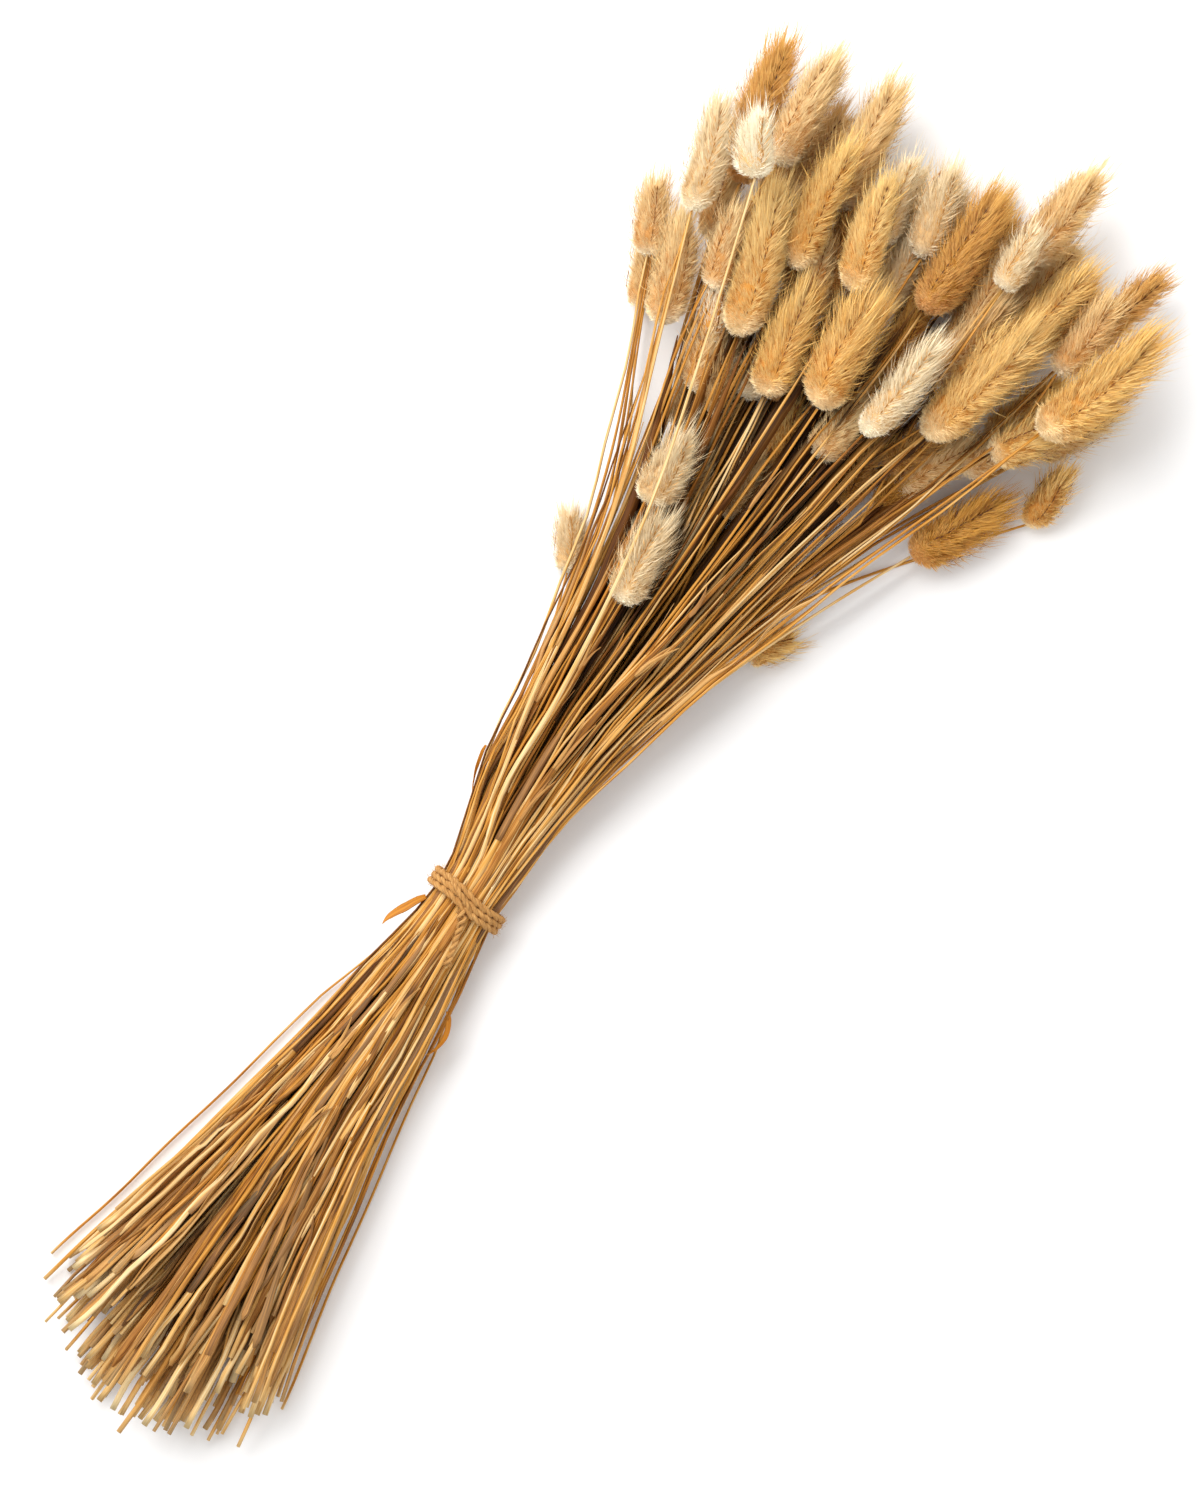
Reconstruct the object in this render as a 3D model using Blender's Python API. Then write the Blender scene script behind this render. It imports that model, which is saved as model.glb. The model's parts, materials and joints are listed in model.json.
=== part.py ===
"""A bundle of dried bunny tail grass, tied at its waist with jute twine and lying on a table.

The bundle lies along Y: the cut ends point to -Y and the heads to +Y. Z is up, the table is z = 0,
and the origin is below the middle of the bundle's box. Each stalk grew as one piece, so it is one
closed mesh: a thin straw, thicker low down where the leaf sheaths wrap it, and one oval head that
its tufts stand out of. The heads stand where the photograph shows them, and the straws run from
there through the tie to the cut ends, pushed apart until none crosses another. Units are metres.
"""

import math
import random
from collections import namedtuple

import bmesh
import bpy
import numpy as np
from mathutils import Matrix, Vector

SEED = 20
UP = Vector((0.0, 0.0, 1.0))
TINY = 1e-6

# How the photograph maps to the real bundle. The length of a pixel makes the bundle 0.53 m long
# and its heads 16 mm thick and 30 to 58 mm long, which are usual sizes for this grass.
PIXEL = 0.00035
TIE_PIXEL = (466, 900)
LEAN = math.radians(34.4)

# The waist, where the twine holds the straws in an oval, and the twine round it.
WAIST_HALF_WIDTH = 0.0126
WAIST_HALF_HEIGHT = 0.0108
TWINE_RADIUS = 0.0015
TWINE_TURNS = 3
TWINE_PITCH = 0.00325
TWINE_SIDES = 8
TWINE_STEPS = 22
TWINE_START = -0.40
TWINE_SLANT = 0.18
TWINE_PRESSED = 0.00035
TAIL_PIXELS = ((460, 911), (462, 920), (455, 942), (448, 967))
TAIL_POINTS = 9
TAIL_TAPER = 0.85
TAIL_GUIDE = "twine_tail_guide"
CLEARANCE = 0.0003
WAIST_HEIGHT = WAIST_HALF_HEIGHT + CLEARANCE + 2 * TWINE_RADIUS - TWINE_PRESSED
HELD_SPAN = 0.0075
SLOT_PITCH = 0.004
SLOT_SHRINK = 0.99

# What comes this near the table is pressed flat on it, and a head on it is pressed to this share.
PRESSED_DEPTH = 0.0003
PRESSED_SHARE = 0.82

# Straws. A straw is thick below its top leaf sheath and tapers from there to its head.
STRAW_SIDES = 5
STRAW_LOW_RADIUS = (0.00100, 0.00120)
STRAW_TOP_RADIUS = (0.00044, 0.00056)
SHEATH_END = (-0.060, 0.090)
SHEATH_STEP = 0.80
STRAW_WAVER = 0.04
STATIONS = (-0.165, -0.115, -0.072, -0.040, -0.014, 0.014, 0.040, 0.072, 0.112, 0.156, 0.200, 0.240)
STATION_CLEARANCE = 0.012

# The cut ends: trimmed to a blunt arc, with some a little short of it.
CUT_REACH = -0.217
CUT_ARC = 0.030
CUT_HALF_SPREAD = 0.050
CUT_SHORT = 0.022
CUT_SHUFFLE = 0.30
CUT_SPREAD_HEIGHT = 1.2

# The bundle's outline seen from above, along the straws: (along, left edge, right edge).
OUTLINE = (
    (-0.217, -0.0500, 0.0460),
    (-0.185, -0.0480, 0.0450),
    (-0.150, -0.0345, 0.0350),
    (-0.095, -0.0262, 0.0225),
    (-0.050, -0.0165, 0.0190),
    (-0.020, -0.0128, 0.0130),
    (0.000, -0.0120, 0.0120),
    (0.020, -0.0165, 0.0125),
    (0.040, -0.0232, 0.0140),
    (0.070, -0.0285, 0.0190),
    (0.102, -0.0315, 0.0280),
    (0.147, -0.0405, 0.0410),
    (0.176, -0.0530, 0.0500),
    (0.205, -0.0660, 0.0620),
    (0.240, -0.0780, 0.0780),
)

# The bundle's outline seen from the side: (along, underside, top).
SIDE_OUTLINE = (
    (-0.217, 0.0009, 0.0330),
    (-0.150, 0.0009, 0.0310),
    (-0.050, 0.0020, 0.0285),
    (0.000, 0.0035, 0.0252),
    (0.040, 0.0025, 0.0300),
    (0.100, 0.0020, 0.0430),
    (0.200, 0.0030, 0.0600),
    (0.240, 0.0030, 0.0640),
)

# The height of a head's axis by layer, from the heads on the table to those on top.
LAYER_HEIGHTS = (0.0, 0.0190, 0.0310, 0.0430, 0.0550)
LAYER_WAVER = 0.003
DROOP = (-0.004, 0.002)

# A head: its outline from base to tip as (share of its length, share of its radius), how much
# fuller it is than the dense part that was measured, the depth of the hollows between tufts, and
# how far a tuft leans to the tip as a share of the ring spacing.
HEAD_PROFILE = (
    (0.05, 0.66),
    (0.18, 0.94),
    (0.33, 1.00),
    (0.49, 0.98),
    (0.65, 0.89),
    (0.80, 0.70),
    (0.93, 0.40),
)
HEAD_ENDS = (0.45, 0.15)
HEAD_SIDES = 10
HEAD_FILL = 1.06
HOLLOW_DEPTH = 0.70
TUFT_LEAN = 0.50
TUFT_WAVER = 0.07

# Nothing lies on the heads of the top layer, so their upper tufts stand up by this share of the
# head's radius more, the most where a tuft points straight up.
TOP_LAYER = 4
FREE_TUFTS = 0.50
FREE_TUFT_FALLOFF = 2

TINTS = {
    "cream": (0.80, 0.65, 0.44, 1.0),
    "tan": (0.62, 0.43, 0.22, 1.0),
    "gold": (0.66, 0.42, 0.16, 1.0),
    "amber": (0.50, 0.27, 0.08, 1.0),
    "grey": (0.50, 0.37, 0.22, 1.0),
}
STRAW_COLOUR = (0.55, 0.33, 0.12, 1.0)
STRAW_ROUGHNESS = 0.50
JUTE_COLOUR = (0.47, 0.29, 0.13, 1.0)
LEAF_COLOUR = (0.62, 0.28, 0.06, 1.0)
MATT = 0.85

# The heads, read by eye from the photograph in its pixels. A layer is 0 on the table and 4 on top.
# "lift" is how far a tip stands higher than its base, in metres.
Bloom = namedtuple("Bloom", "tip base width layer tint lift", defaults=(0.0,))
BLOOMS = (
    Bloom(tip=(787, 38), base=(744, 185), width=52, layer=1, tint="amber"),
    Bloom(tip=(837, 57), base=(778, 168), width=42, layer=2, tint="tan"),
    Bloom(tip=(757, 120), base=(762, 194), width=42, layer=4, tint="cream", lift=0.014),
    Bloom(tip=(722, 105), base=(688, 212), width=40, layer=3, tint="cream"),
    Bloom(tip=(658, 176), base=(651, 255), width=38, layer=1, tint="tan"),
    Bloom(tip=(648, 228), base=(644, 306), width=36, layer=0, tint="tan"),
    Bloom(tip=(684, 212), base=(665, 328), width=44, layer=2, tint="tan"),
    Bloom(tip=(735, 158), base=(712, 238), width=38, layer=1, tint="tan"),
    Bloom(tip=(848, 110), base=(787, 194), width=42, layer=1, tint="grey"),
    Bloom(tip=(897, 86), base=(836, 212), width=50, layer=2, tint="tan"),
    Bloom(tip=(852, 148), base=(800, 276), width=44, layer=3, tint="gold"),
    Bloom(tip=(848, 225), base=(825, 318), width=40, layer=1, tint="tan"),
    Bloom(tip=(888, 180), base=(854, 298), width=44, layer=3, tint="gold"),
    Bloom(tip=(926, 223), base=(884, 315), width=38, layer=2, tint="cream"),
    Bloom(tip=(925, 163), base=(890, 260), width=40, layer=1, tint="cream"),
    Bloom(tip=(958, 182), base=(915, 270), width=40, layer=0, tint="tan"),
    Bloom(tip=(995, 203), base=(921, 315), width=48, layer=3, tint="amber"),
    Bloom(tip=(1007, 187), base=(965, 290), width=40, layer=1, tint="gold"),
    Bloom(tip=(1036, 233), base=(1003, 295), width=35, layer=3, tint="cream"),
    Bloom(tip=(1008, 246), base=(962, 325), width=40, layer=1, tint="grey"),
    Bloom(tip=(1098, 172), base=(1022, 260), width=50, layer=2, tint="tan"),
    Bloom(tip=(1083, 243), base=(1015, 310), width=45, layer=1, tint="tan"),
    Bloom(tip=(1085, 270), base=(1000, 350), width=44, layer=2, tint="gold"),
    Bloom(tip=(1033, 326), base=(921, 438), width=50, layer=3, tint="gold"),
    Bloom(tip=(1012, 303), base=(930, 385), width=40, layer=2, tint="tan"),
    Bloom(tip=(935, 346), base=(867, 442), width=38, layer=4, tint="cream"),
    Bloom(tip=(1168, 275), base=(1063, 352), width=40, layer=1, tint="amber"),
    Bloom(tip=(1149, 342), base=(1042, 440), width=54, layer=2, tint="gold"),
    Bloom(tip=(1062, 418), base=(982, 450), width=42, layer=2, tint="gold"),
    Bloom(tip=(1010, 503), base=(914, 555), width=48, layer=0, tint="amber"),
    Bloom(tip=(1069, 468), base=(1021, 513), width=34, layer=0, tint="gold"),
    Bloom(tip=(985, 440), base=(887, 484), width=40, layer=1, tint="tan"),
    Bloom(tip=(865, 395), base=(813, 456), width=42, layer=2, tint="tan"),
    Bloom(tip=(893, 352), base=(850, 425), width=42, layer=1, tint="gold"),
    Bloom(tip=(876, 301), base=(824, 417), width=52, layer=4, tint="gold"),
    Bloom(tip=(803, 289), base=(769, 402), width=48, layer=3, tint="gold"),
    Bloom(tip=(780, 330), base=(743, 397), width=38, layer=2, tint="cream"),
    Bloom(tip=(778, 185), base=(741, 342), width=50, layer=3, tint="gold"),
    Bloom(tip=(754, 276), base=(727, 352), width=38, layer=1, tint="gold"),
    Bloom(tip=(752, 204), base=(720, 302), width=40, layer=2, tint="tan"),
    Bloom(tip=(700, 350), base=(686, 430), width=36, layer=1, tint="grey"),
    Bloom(tip=(728, 340), base=(710, 418), width=36, layer=1, tint="grey"),
    Bloom(tip=(745, 372), base=(713, 443), width=36, layer=1, tint="grey"),
    Bloom(tip=(688, 433), base=(653, 509), width=46, layer=3, tint="cream"),
    Bloom(tip=(664, 516), base=(624, 606), width=44, layer=3, tint="cream"),
    Bloom(tip=(569, 508), base=(582, 580), width=32, layer=0, tint="cream"),
    Bloom(tip=(797, 634), base=(738, 648), width=36, layer=0, tint="gold"),
    Bloom(tip=(708, 462), base=(676, 532), width=34, layer=1, tint="grey"),
    Bloom(tip=(762, 450), base=(730, 520), width=34, layer=1, tint="grey"),
    Bloom(tip=(1065, 378), base=(985, 432), width=42, layer=1, tint="gold"),
    Bloom(tip=(1062, 340), base=(975, 420), width=40, layer=0, tint="tan"),
    Bloom(tip=(1118, 402), base=(1035, 448), width=40, layer=0, tint="tan"),
    Bloom(tip=(733, 425), base=(700, 496), width=34, layer=1, tint="grey"),
    Bloom(tip=(782, 506), base=(745, 580), width=34, layer=1, tint="grey"),
    Bloom(tip=(818, 442), base=(770, 516), width=36, layer=1, tint="grey"),
)

# Dry leaf scraps on the bundle's edges: the side each is on, where along the bundle it starts and
# ends, its width, and how far it bulges, stands away at its end and rises.
Leaf = namedtuple("Leaf", "name side root end width bulge away rise")
LEAVES = (
    Leaf("leaf_strip_left", -1, root=-0.0070, end=-0.0235,
         width=0.0024, bulge=0.0016, away=0.0062, rise=0.0030),
    Leaf("leaf_sheath_left", -1, root=0.0330, end=0.0490,
         width=0.0020, bulge=0.0, away=0.0016, rise=0.0040),
    Leaf("leaf_curl_right", 1, root=-0.0360, end=-0.0530,
         width=0.0022, bulge=0.0028, away=0.0, rise=0.0025),
)
LEAF_SEGMENTS = 8
LEAF_THICKNESS = 0.0006
LEAF_GAP = 0.0003
LEAF_LIP = 0.25
LEAF_POINT = 0.12

# How the stalks settle beside one another: one disc for each stalk every few millimetres along
# the bundle, moved until no two discs overlap.
DISC_SPACING = 0.004
SETTLE_STEPS = 320
CLEAR_STEPS = 900
FIRST_GROWTH = 0.3
STALK_GAP = 0.0004
SETTLED_OVERLAP = 0.00004
LEAST_WEIGHT = 0.001
STEEPEST = 1.3
SIDEWAYS_SHARE = 0.7
HOLD_HEAD = 0.18
HOLD_STRAW = 0.12
LAST_HOLD = 0.5
HOLD_HEIGHT = 0.04
HOLD_LOW_HEAD = 0.35
CEILING_SLACK = 0.0015
STIFFNESS = 0.22
HEAD_STIFFNESS = 0.055


def place(pixel):
    """Where a pixel of the photograph lies on the bundle: (across, along), from the tie."""
    right = pixel[0] - TIE_PIXEL[0]
    up = TIE_PIXEL[1] - pixel[1]
    across = right * math.cos(LEAN) - up * math.sin(LEAN)
    along = right * math.sin(LEAN) + up * math.cos(LEAN)
    return across * PIXEL, along * PIXEL


def between(rows, along):
    """The two limits that an outline gives at a distance along the bundle."""
    stations, low, high = zip(*rows)
    return float(np.interp(along, stations, low)), float(np.interp(along, stations, high))


def share_of(rows, along, value):
    """Where a value lies between the outline's limits, from -1 to 1."""
    low, high = between(rows, along)
    return (2 * value - low - high) / (high - low)


def value_of(rows, along, share):
    low, high = between(rows, along)
    return (low + high + share * (high - low)) / 2


class Stalk:
    """One stalk: its head's place, its radii, and its path as knots (x, y, z) from cut end to tip."""

    def __init__(self, name, bloom, draw):
        self.name = name
        self.tint = bloom.tint
        tip_across, tip_along = place(bloom.tip)
        base_across, base_along = place(bloom.base)
        self.head_radius = HEAD_FILL * bloom.width * PIXEL / 2
        lowest = PRESSED_SHARE * self.head_radius
        height = max(LAYER_HEIGHTS[bloom.layer] + draw.uniform(-1, 1) * LAYER_WAVER, lowest)
        self.on_top = bloom.layer == TOP_LAYER
        self.on_table = bloom.layer == 0
        if self.on_table:
            height = lowest
        self.base = (base_across, base_along, height)
        self.tip = (tip_across, tip_along, max(lowest, height + bloom.lift + draw.uniform(*DROOP)))
        self.low_radius = draw.uniform(*STRAW_LOW_RADIUS)
        self.top_radius = draw.uniform(*STRAW_TOP_RADIUS)
        self.sheath_end = draw.uniform(*SHEATH_END)
        self.knots = None

    def straw_radius(self, along):
        """Full below the sheath's end, a step down there, then an even taper to the head."""
        start = SHEATH_STEP * self.low_radius
        rest = (along - self.sheath_end) / (self.base[1] - self.sheath_end)
        taper = start + (self.top_radius - start) * min(max(rest, 0.0), 1.0)
        return np.where(along < self.sheath_end, self.low_radius, taper)

    def head_radius_at(self, share):
        shares, sizes = zip(*HEAD_PROFILE)
        size = np.interp(share, (0.0, *shares, 1.0), (HEAD_ENDS[0], *sizes, HEAD_ENDS[1]))
        return self.head_radius * size


def waist_slots(count):
    """Places for the straws in the waist's oval, packed in staggered rows: (across, height)."""
    width = WAIST_HALF_WIDTH - STRAW_LOW_RADIUS[1]
    height = WAIST_HALF_HEIGHT - STRAW_LOW_RADIUS[1]
    pitch = SLOT_PITCH
    while True:
        slots = []
        rise = pitch * math.sqrt(3) / 2
        rows = int(height / rise) + 1
        columns = int(width / pitch) + 1
        for row in range(-rows, rows + 1):
            for column in range(-columns, columns + 1):
                across = (column + 0.5 * (row % 2)) * pitch
                lift = row * rise
                reach = (across / width) ** 2 + (lift / height) ** 2
                if reach <= 1.0:
                    slots.append((reach, across, WAIST_HEIGHT + lift))
        if len(slots) >= count:
            slots.sort()
            return [slot[1:] for slot in slots[:count]]
        pitch *= SLOT_SHRINK


def choose_slots(stalks):
    """Gives each stalk a place in the waist: low heads the lower rows, left heads the left."""
    slots = sorted(waist_slots(len(stalks)), key=lambda slot: (round(slot[1], 5), slot[0]))
    waiting = sorted(stalks, key=lambda stalk: stalk.base[2])
    chosen = {}
    while slots:
        row = [slot for slot in slots if abs(slot[1] - slots[0][1]) < TINY]
        slots = slots[len(row):]
        taken = sorted(waiting[: len(row)], key=lambda stalk: share_of(OUTLINE, *stalk.base[1::-1]))
        waiting = waiting[len(row):]
        for stalk, slot in zip(taken, row):
            chosen[stalk.name] = slot
    return chosen


def first_paths(stalks, draw):
    """A first path for each stalk, from its cut end through the waist to its head."""
    slots = choose_slots(stalks)
    shuffled = {stalk.name: slots[stalk.name][0] / WAIST_HALF_WIDTH + draw.uniform(-1, 1) * CUT_SHUFFLE
                for stalk in stalks}
    ranks = {name: rank for rank, name in enumerate(sorted(shuffled, key=shuffled.get))}
    for stalk in stalks:
        across, height = slots[stalk.name]
        waist_share = share_of(OUTLINE, 0.0, across)
        waist_rise = share_of(SIDE_OUTLINE, 0.0, height)
        cut_share = 2 * (ranks[stalk.name] + 0.5) / len(stalks) - 1
        cut_rise = CUT_SPREAD_HEIGHT * waist_rise + draw.uniform(-1, 1) * CUT_SHUFFLE
        cut_rise = min(max(cut_rise, -1), 1)
        cut_across = value_of(OUTLINE, CUT_REACH, cut_share)
        cut_along = CUT_REACH + CUT_ARC * (cut_across / CUT_HALF_SPREAD) ** 2
        cut_along += CUT_SHORT * draw.random() ** 2
        base_share = share_of(OUTLINE, *stalk.base[1::-1])
        base_rise = share_of(SIDE_OUTLINE, stalk.base[1], stalk.base[2])
        inner = [station for station in STATIONS
                 if cut_along + STATION_CLEARANCE < station < stalk.base[1] - STATION_CLEARANCE]
        knots = []
        for along in [cut_along] + inner:
            if along < 0:
                part = along / cut_along
                side = waist_share + (cut_share - waist_share) * part
                rise = waist_rise + (cut_rise - waist_rise) * part
            else:
                part = along / stalk.base[1]
                side = waist_share + (base_share - waist_share) * part
                rise = waist_rise + (base_rise - waist_rise) * part
            knots.append((value_of(OUTLINE, along, side), along, value_of(SIDE_OUTLINE, along, rise)))
        stalk.knots = np.array(knots + [stalk.base, stalk.tip])


class Pile:
    """All the stalks as discs across the bundle, for settling them clear of one another."""

    def __init__(self, stalks):
        self.stalks = stalks
        self.counts = [len(stalk.knots) for stalk in stalks]
        self.starts = np.cumsum([0] + self.counts[:-1])
        self.knots = np.concatenate([stalk.knots for stalk in stalks])
        self.wanted = self.knots.copy()
        lowest = self.knots[:, 1].min()
        highest = self.knots[:, 1].max()
        self.along = np.arange(lowest, highest + DISC_SPACING, DISC_SPACING)
        shape = (len(self.along), len(stalks))
        self.lower = np.zeros(shape, int)
        self.part = np.zeros(shape)
        self.radius = np.zeros(shape)
        self.there = np.zeros(shape, bool)
        for column, (start, stalk) in enumerate(zip(self.starts, stalks)):
            self.add_discs(column, start, stalk)
        self.head_knots = np.zeros(len(self.knots), bool)
        ends = self.starts + np.array(self.counts)
        self.head_knots[ends - 1] = True
        self.head_knots[ends - 2] = True
        self.ends = np.zeros(len(self.knots), bool)
        self.ends[self.starts] = True
        self.ends[ends - 1] = True
        tops = np.array([between(SIDE_OUTLINE, along)[1] for along in self.along])
        self.ceiling = tops[:, None] + CEILING_SLACK
        self.height_hold = np.full(len(self.knots), HOLD_HEIGHT)
        for end, stalk in zip(ends, stalks):
            if stalk.on_table:
                self.height_hold[end - 2:end] = HOLD_LOW_HEAD

    def add_discs(self, column, start, stalk):
        places = stalk.knots[:, 1]
        base, tip = places[-2:]
        for row, along in enumerate(self.along):
            if not places[0] <= along <= tip + DISC_SPACING / 2:
                continue
            knot = min(max(int(np.searchsorted(places, along)) - 1, 0), len(places) - 2)
            self.lower[row, column] = start + knot
            self.part[row, column] = (along - places[knot]) / (places[knot + 1] - places[knot])
            self.there[row, column] = True
            if along > base - DISC_SPACING / 2:
                self.radius[row, column] = stalk.head_radius_at((along - base) / (tip - base))
            else:
                self.radius[row, column] = stalk.straw_radius(along)

    def discs(self):
        """The discs' centres and their radii, larger where a stalk slants through the disc."""
        low = self.knots[self.lower]
        high = self.knots[self.lower + 1]
        centres = low + (high - low) * self.part[..., None]
        rise = high - low
        slant = np.hypot(rise[..., 0], rise[..., 2]) / np.maximum(rise[..., 1], TINY)
        return centres, self.radius * np.sqrt(1 + np.minimum(slant, STEEPEST) ** 2)

    def move(self, shifts, felt):
        """Moves the knots by what their discs feel, in the discs' shares."""
        size = len(self.knots)
        low = self.lower.ravel()
        part = self.part.ravel()
        felt = felt.ravel()
        weight = np.bincount(low, (1 - part) * felt, size) + np.bincount(low + 1, part * felt, size)
        for axis in (0, 2):
            shift = shifts[..., axis].ravel()
            total = np.bincount(low, (1 - part) * shift, size) + np.bincount(low + 1, part * shift, size)
            self.knots[:, axis] += total / np.maximum(weight, LEAST_WEIGHT)

    def part_discs(self, growth):
        """Pushes overlapping discs apart, the thin ones further, and returns the worst overlap."""
        centres, radius = self.discs()
        across = centres[:, :, None, 0] - centres[:, None, :, 0]
        height = centres[:, :, None, 2] - centres[:, None, :, 2]
        apart = np.hypot(across, height)
        overlap = (radius[:, :, None] + radius[:, None, :]) * growth + STALK_GAP - apart
        both = self.there[:, :, None] & self.there[:, None, :]
        both &= ~np.eye(len(self.stalks), dtype=bool)[None]
        overlap = np.where(both, np.maximum(overlap, 0.0), 0.0)
        share = radius[:, None, :] / np.maximum(radius[:, :, None] + radius[:, None, :], TINY)
        push = overlap * share / np.maximum(apart, TINY)
        shifts = np.zeros(centres.shape)
        shifts[..., 0] = (push * across).sum(axis=2) * SIDEWAYS_SHARE
        shifts[..., 2] = (push * height).sum(axis=2)
        self.move(shifts, (overlap > 0).any(axis=2).astype(float))
        return overlap.max()

    def keep_in(self, growth):
        """Keeps the discs on the table, straws under the top and, at the tie, inside the oval."""
        centres, radius = self.discs()
        shifts = np.zeros(centres.shape)
        lowest = PRESSED_SHARE * self.radius * growth
        sunk = np.where(self.there, np.maximum(lowest - centres[..., 2], 0.0), 0.0)
        straw = self.there & (self.radius <= STRAW_LOW_RADIUS[1])
        humped = np.where(straw, np.minimum(self.ceiling - centres[..., 2], 0.0), 0.0)
        shifts[..., 2] = sunk + humped
        self.move(shifts, ((sunk > 0) | (humped < 0)).astype(float))
        centres, radius = self.discs()
        held = self.there & (np.abs(self.along) < HELD_SPAN)[:, None]
        width = WAIST_HALF_WIDTH - radius
        height = WAIST_HALF_HEIGHT - radius
        lift = centres[..., 2] - WAIST_HEIGHT
        reach = np.sqrt((centres[..., 0] / width) ** 2 + (lift / height) ** 2)
        out = np.where(held & (reach > 1), 1 / np.maximum(reach, TINY) - 1, 0.0)
        shifts[..., 0] = centres[..., 0] * out
        shifts[..., 2] = lift * out
        self.move(shifts, (out < 0).astype(float))

    def straighten(self, amount):
        """Eases each straw's inner knots towards the line between their neighbours."""
        inner = np.nonzero(~self.ends)[0]
        before = self.knots[inner - 1]
        after = self.knots[inner + 1]
        here = self.knots[inner]
        part = (here[:, 1] - before[:, 1]) / (after[:, 1] - before[:, 1])
        line = before + (after - before) * part[:, None]
        ease = amount * np.where(self.head_knots[inner], HEAD_STIFFNESS, STIFFNESS)[:, None]
        self.knots[inner] = here + (line - here) * ease * np.array((1.0, 0.0, 1.0))

    def hold(self, amount):
        """Draws the knots back to where the photograph has them, the straws' knots to the last."""
        away = self.wanted - self.knots
        straw_hold = HOLD_STRAW * max(amount, LAST_HOLD)
        self.knots[:, 0] += away[:, 0] * np.where(self.head_knots, HOLD_HEAD * amount, straw_hold)
        self.knots[:, 2] += away[:, 2] * self.height_hold * amount

    def settle(self):
        for step in range(SETTLE_STEPS):
            done = step / SETTLE_STEPS
            growth = min(1.0, FIRST_GROWTH + done / (1 - FIRST_GROWTH))
            self.hold(1 - done)
            self.straighten(1 - (1 - FIRST_GROWTH) * done)
            self.part_discs(growth)
            self.keep_in(growth)
        for _ in range(CLEAR_STEPS):
            worst = self.part_discs(1.0)
            self.keep_in(1.0)
            if worst < SETTLED_OVERLAP:
                break
        print(f"Stalks settled, worst overlap of their discs {worst * 1000:.3f} mm")
        for start, count, stalk in zip(self.starts, self.counts, self.stalks):
            stalk.knots = np.round(self.knots[start:start + count], 5)


def ring_at(bm, centre, tangent, radius, sides, capped=False, turn=0.0):
    """A circle of vertices across a path, its vertices in order round it."""
    side = tangent.cross(UP).normalized()
    across = Matrix((side, side.cross(tangent), tangent)).transposed().to_4x4()
    matrix = Matrix.Translation(centre) @ across @ Matrix.Rotation(turn, 4, "Z")
    made = bmesh.ops.create_circle(bm, cap_ends=capped, segments=sides, radius=radius, matrix=matrix)
    return made["verts"]


def bridge(bm, lower, upper):
    """Faces between two rings."""
    edges = set()
    for ring in (lower, upper):
        members = set(ring)
        for vertex in ring:
            edges.update(edge for edge in vertex.link_edges if edge.other_vert(vertex) in members)
    bmesh.ops.bridge_loops(bm, edges=list(edges))


def directions(points):
    """The direction of a path at each of its points."""
    before = [points[0]] + points[:-1]
    after = points[1:] + [points[-1]]
    return [(b - a).normalized() for a, b in zip(before, after)]


def grow_straw(bm, stalk, draw):
    """The straw, ring by ring from its capped cut end, and its last ring at the head's base."""
    points = [Vector(knot) for knot in stalk.knots[:-1]]
    heading = (Vector(stalk.knots[-1]) - points[-1]).normalized()
    tangents = directions(points)[:-1] + [heading]
    last = None
    for point, tangent in zip(points, tangents):
        radius = float(stalk.straw_radius(point.y)) * (1 + draw.uniform(-1, 1) * STRAW_WAVER)
        ring = ring_at(bm, point, tangent, radius, STRAW_SIDES, capped=last is None)
        if last is not None:
            bridge(bm, last, ring)
        last = ring
    return last


def grow_head(bm, stalk, last, draw):
    """The head: rings whose every second vertex is a tuft that stands out and leans to the tip."""
    base = Vector(stalk.knots[-2])
    tip = Vector(stalk.knots[-1])
    heading = (tip - base).normalized()
    length = (tip - base).length
    spacing = length / len(HEAD_PROFILE)
    hollows = set()
    rings = []
    for number, (share, size) in enumerate(HEAD_PROFILE):
        centre = base + heading * length * share
        closing = number == len(HEAD_PROFILE) - 1
        ring = ring_at(bm, centre, heading, stalk.head_radius * size, HEAD_SIDES, capped=closing)
        bridge(bm, last, ring)
        last = ring
        rings.append((number, centre, ring))
    for number, centre, ring in rings:
        for index, vertex in enumerate(ring):
            out = vertex.co - centre
            if (number + index) % 2:
                vertex.co = centre + out * HOLLOW_DEPTH
                hollows.add(vertex)
            else:
                lean = 0 if number == len(rings) - 1 else spacing * TUFT_LEAN
                tuft = out * (1 - draw.random() * TUFT_WAVER)
                if stalk.on_top:
                    free = max(out.normalized().z, 0.0) ** FREE_TUFT_FALLOFF
                    tuft += out.normalized() * stalk.head_radius * FREE_TUFTS * free
                vertex.co = centre + tuft + heading * lean
    cap = max(last[0].link_faces, key=lambda face: len(face.verts))
    point = bmesh.ops.poke(bm, faces=[cap])["verts"][0]
    point.co = tip
    for face in [face for face in bm.faces if len(face.verts) == 4]:
        low = [vertex for vertex in face.verts if vertex in hollows]
        if len(low) == 2:
            bmesh.utils.face_split(face, *low)


def grow_stalk(stalk, draw):
    """The whole stalk as one closed mesh, with the head's faces in the second material."""
    bm = bmesh.new()
    last = grow_straw(bm, stalk, draw)
    straw_faces = set(bm.faces)
    grow_head(bm, stalk, last, draw)
    for face in bm.faces:
        face.material_index = 0 if face in straw_faces else 1
    bmesh.ops.recalc_face_normals(bm, faces=bm.faces)
    return bm


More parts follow.
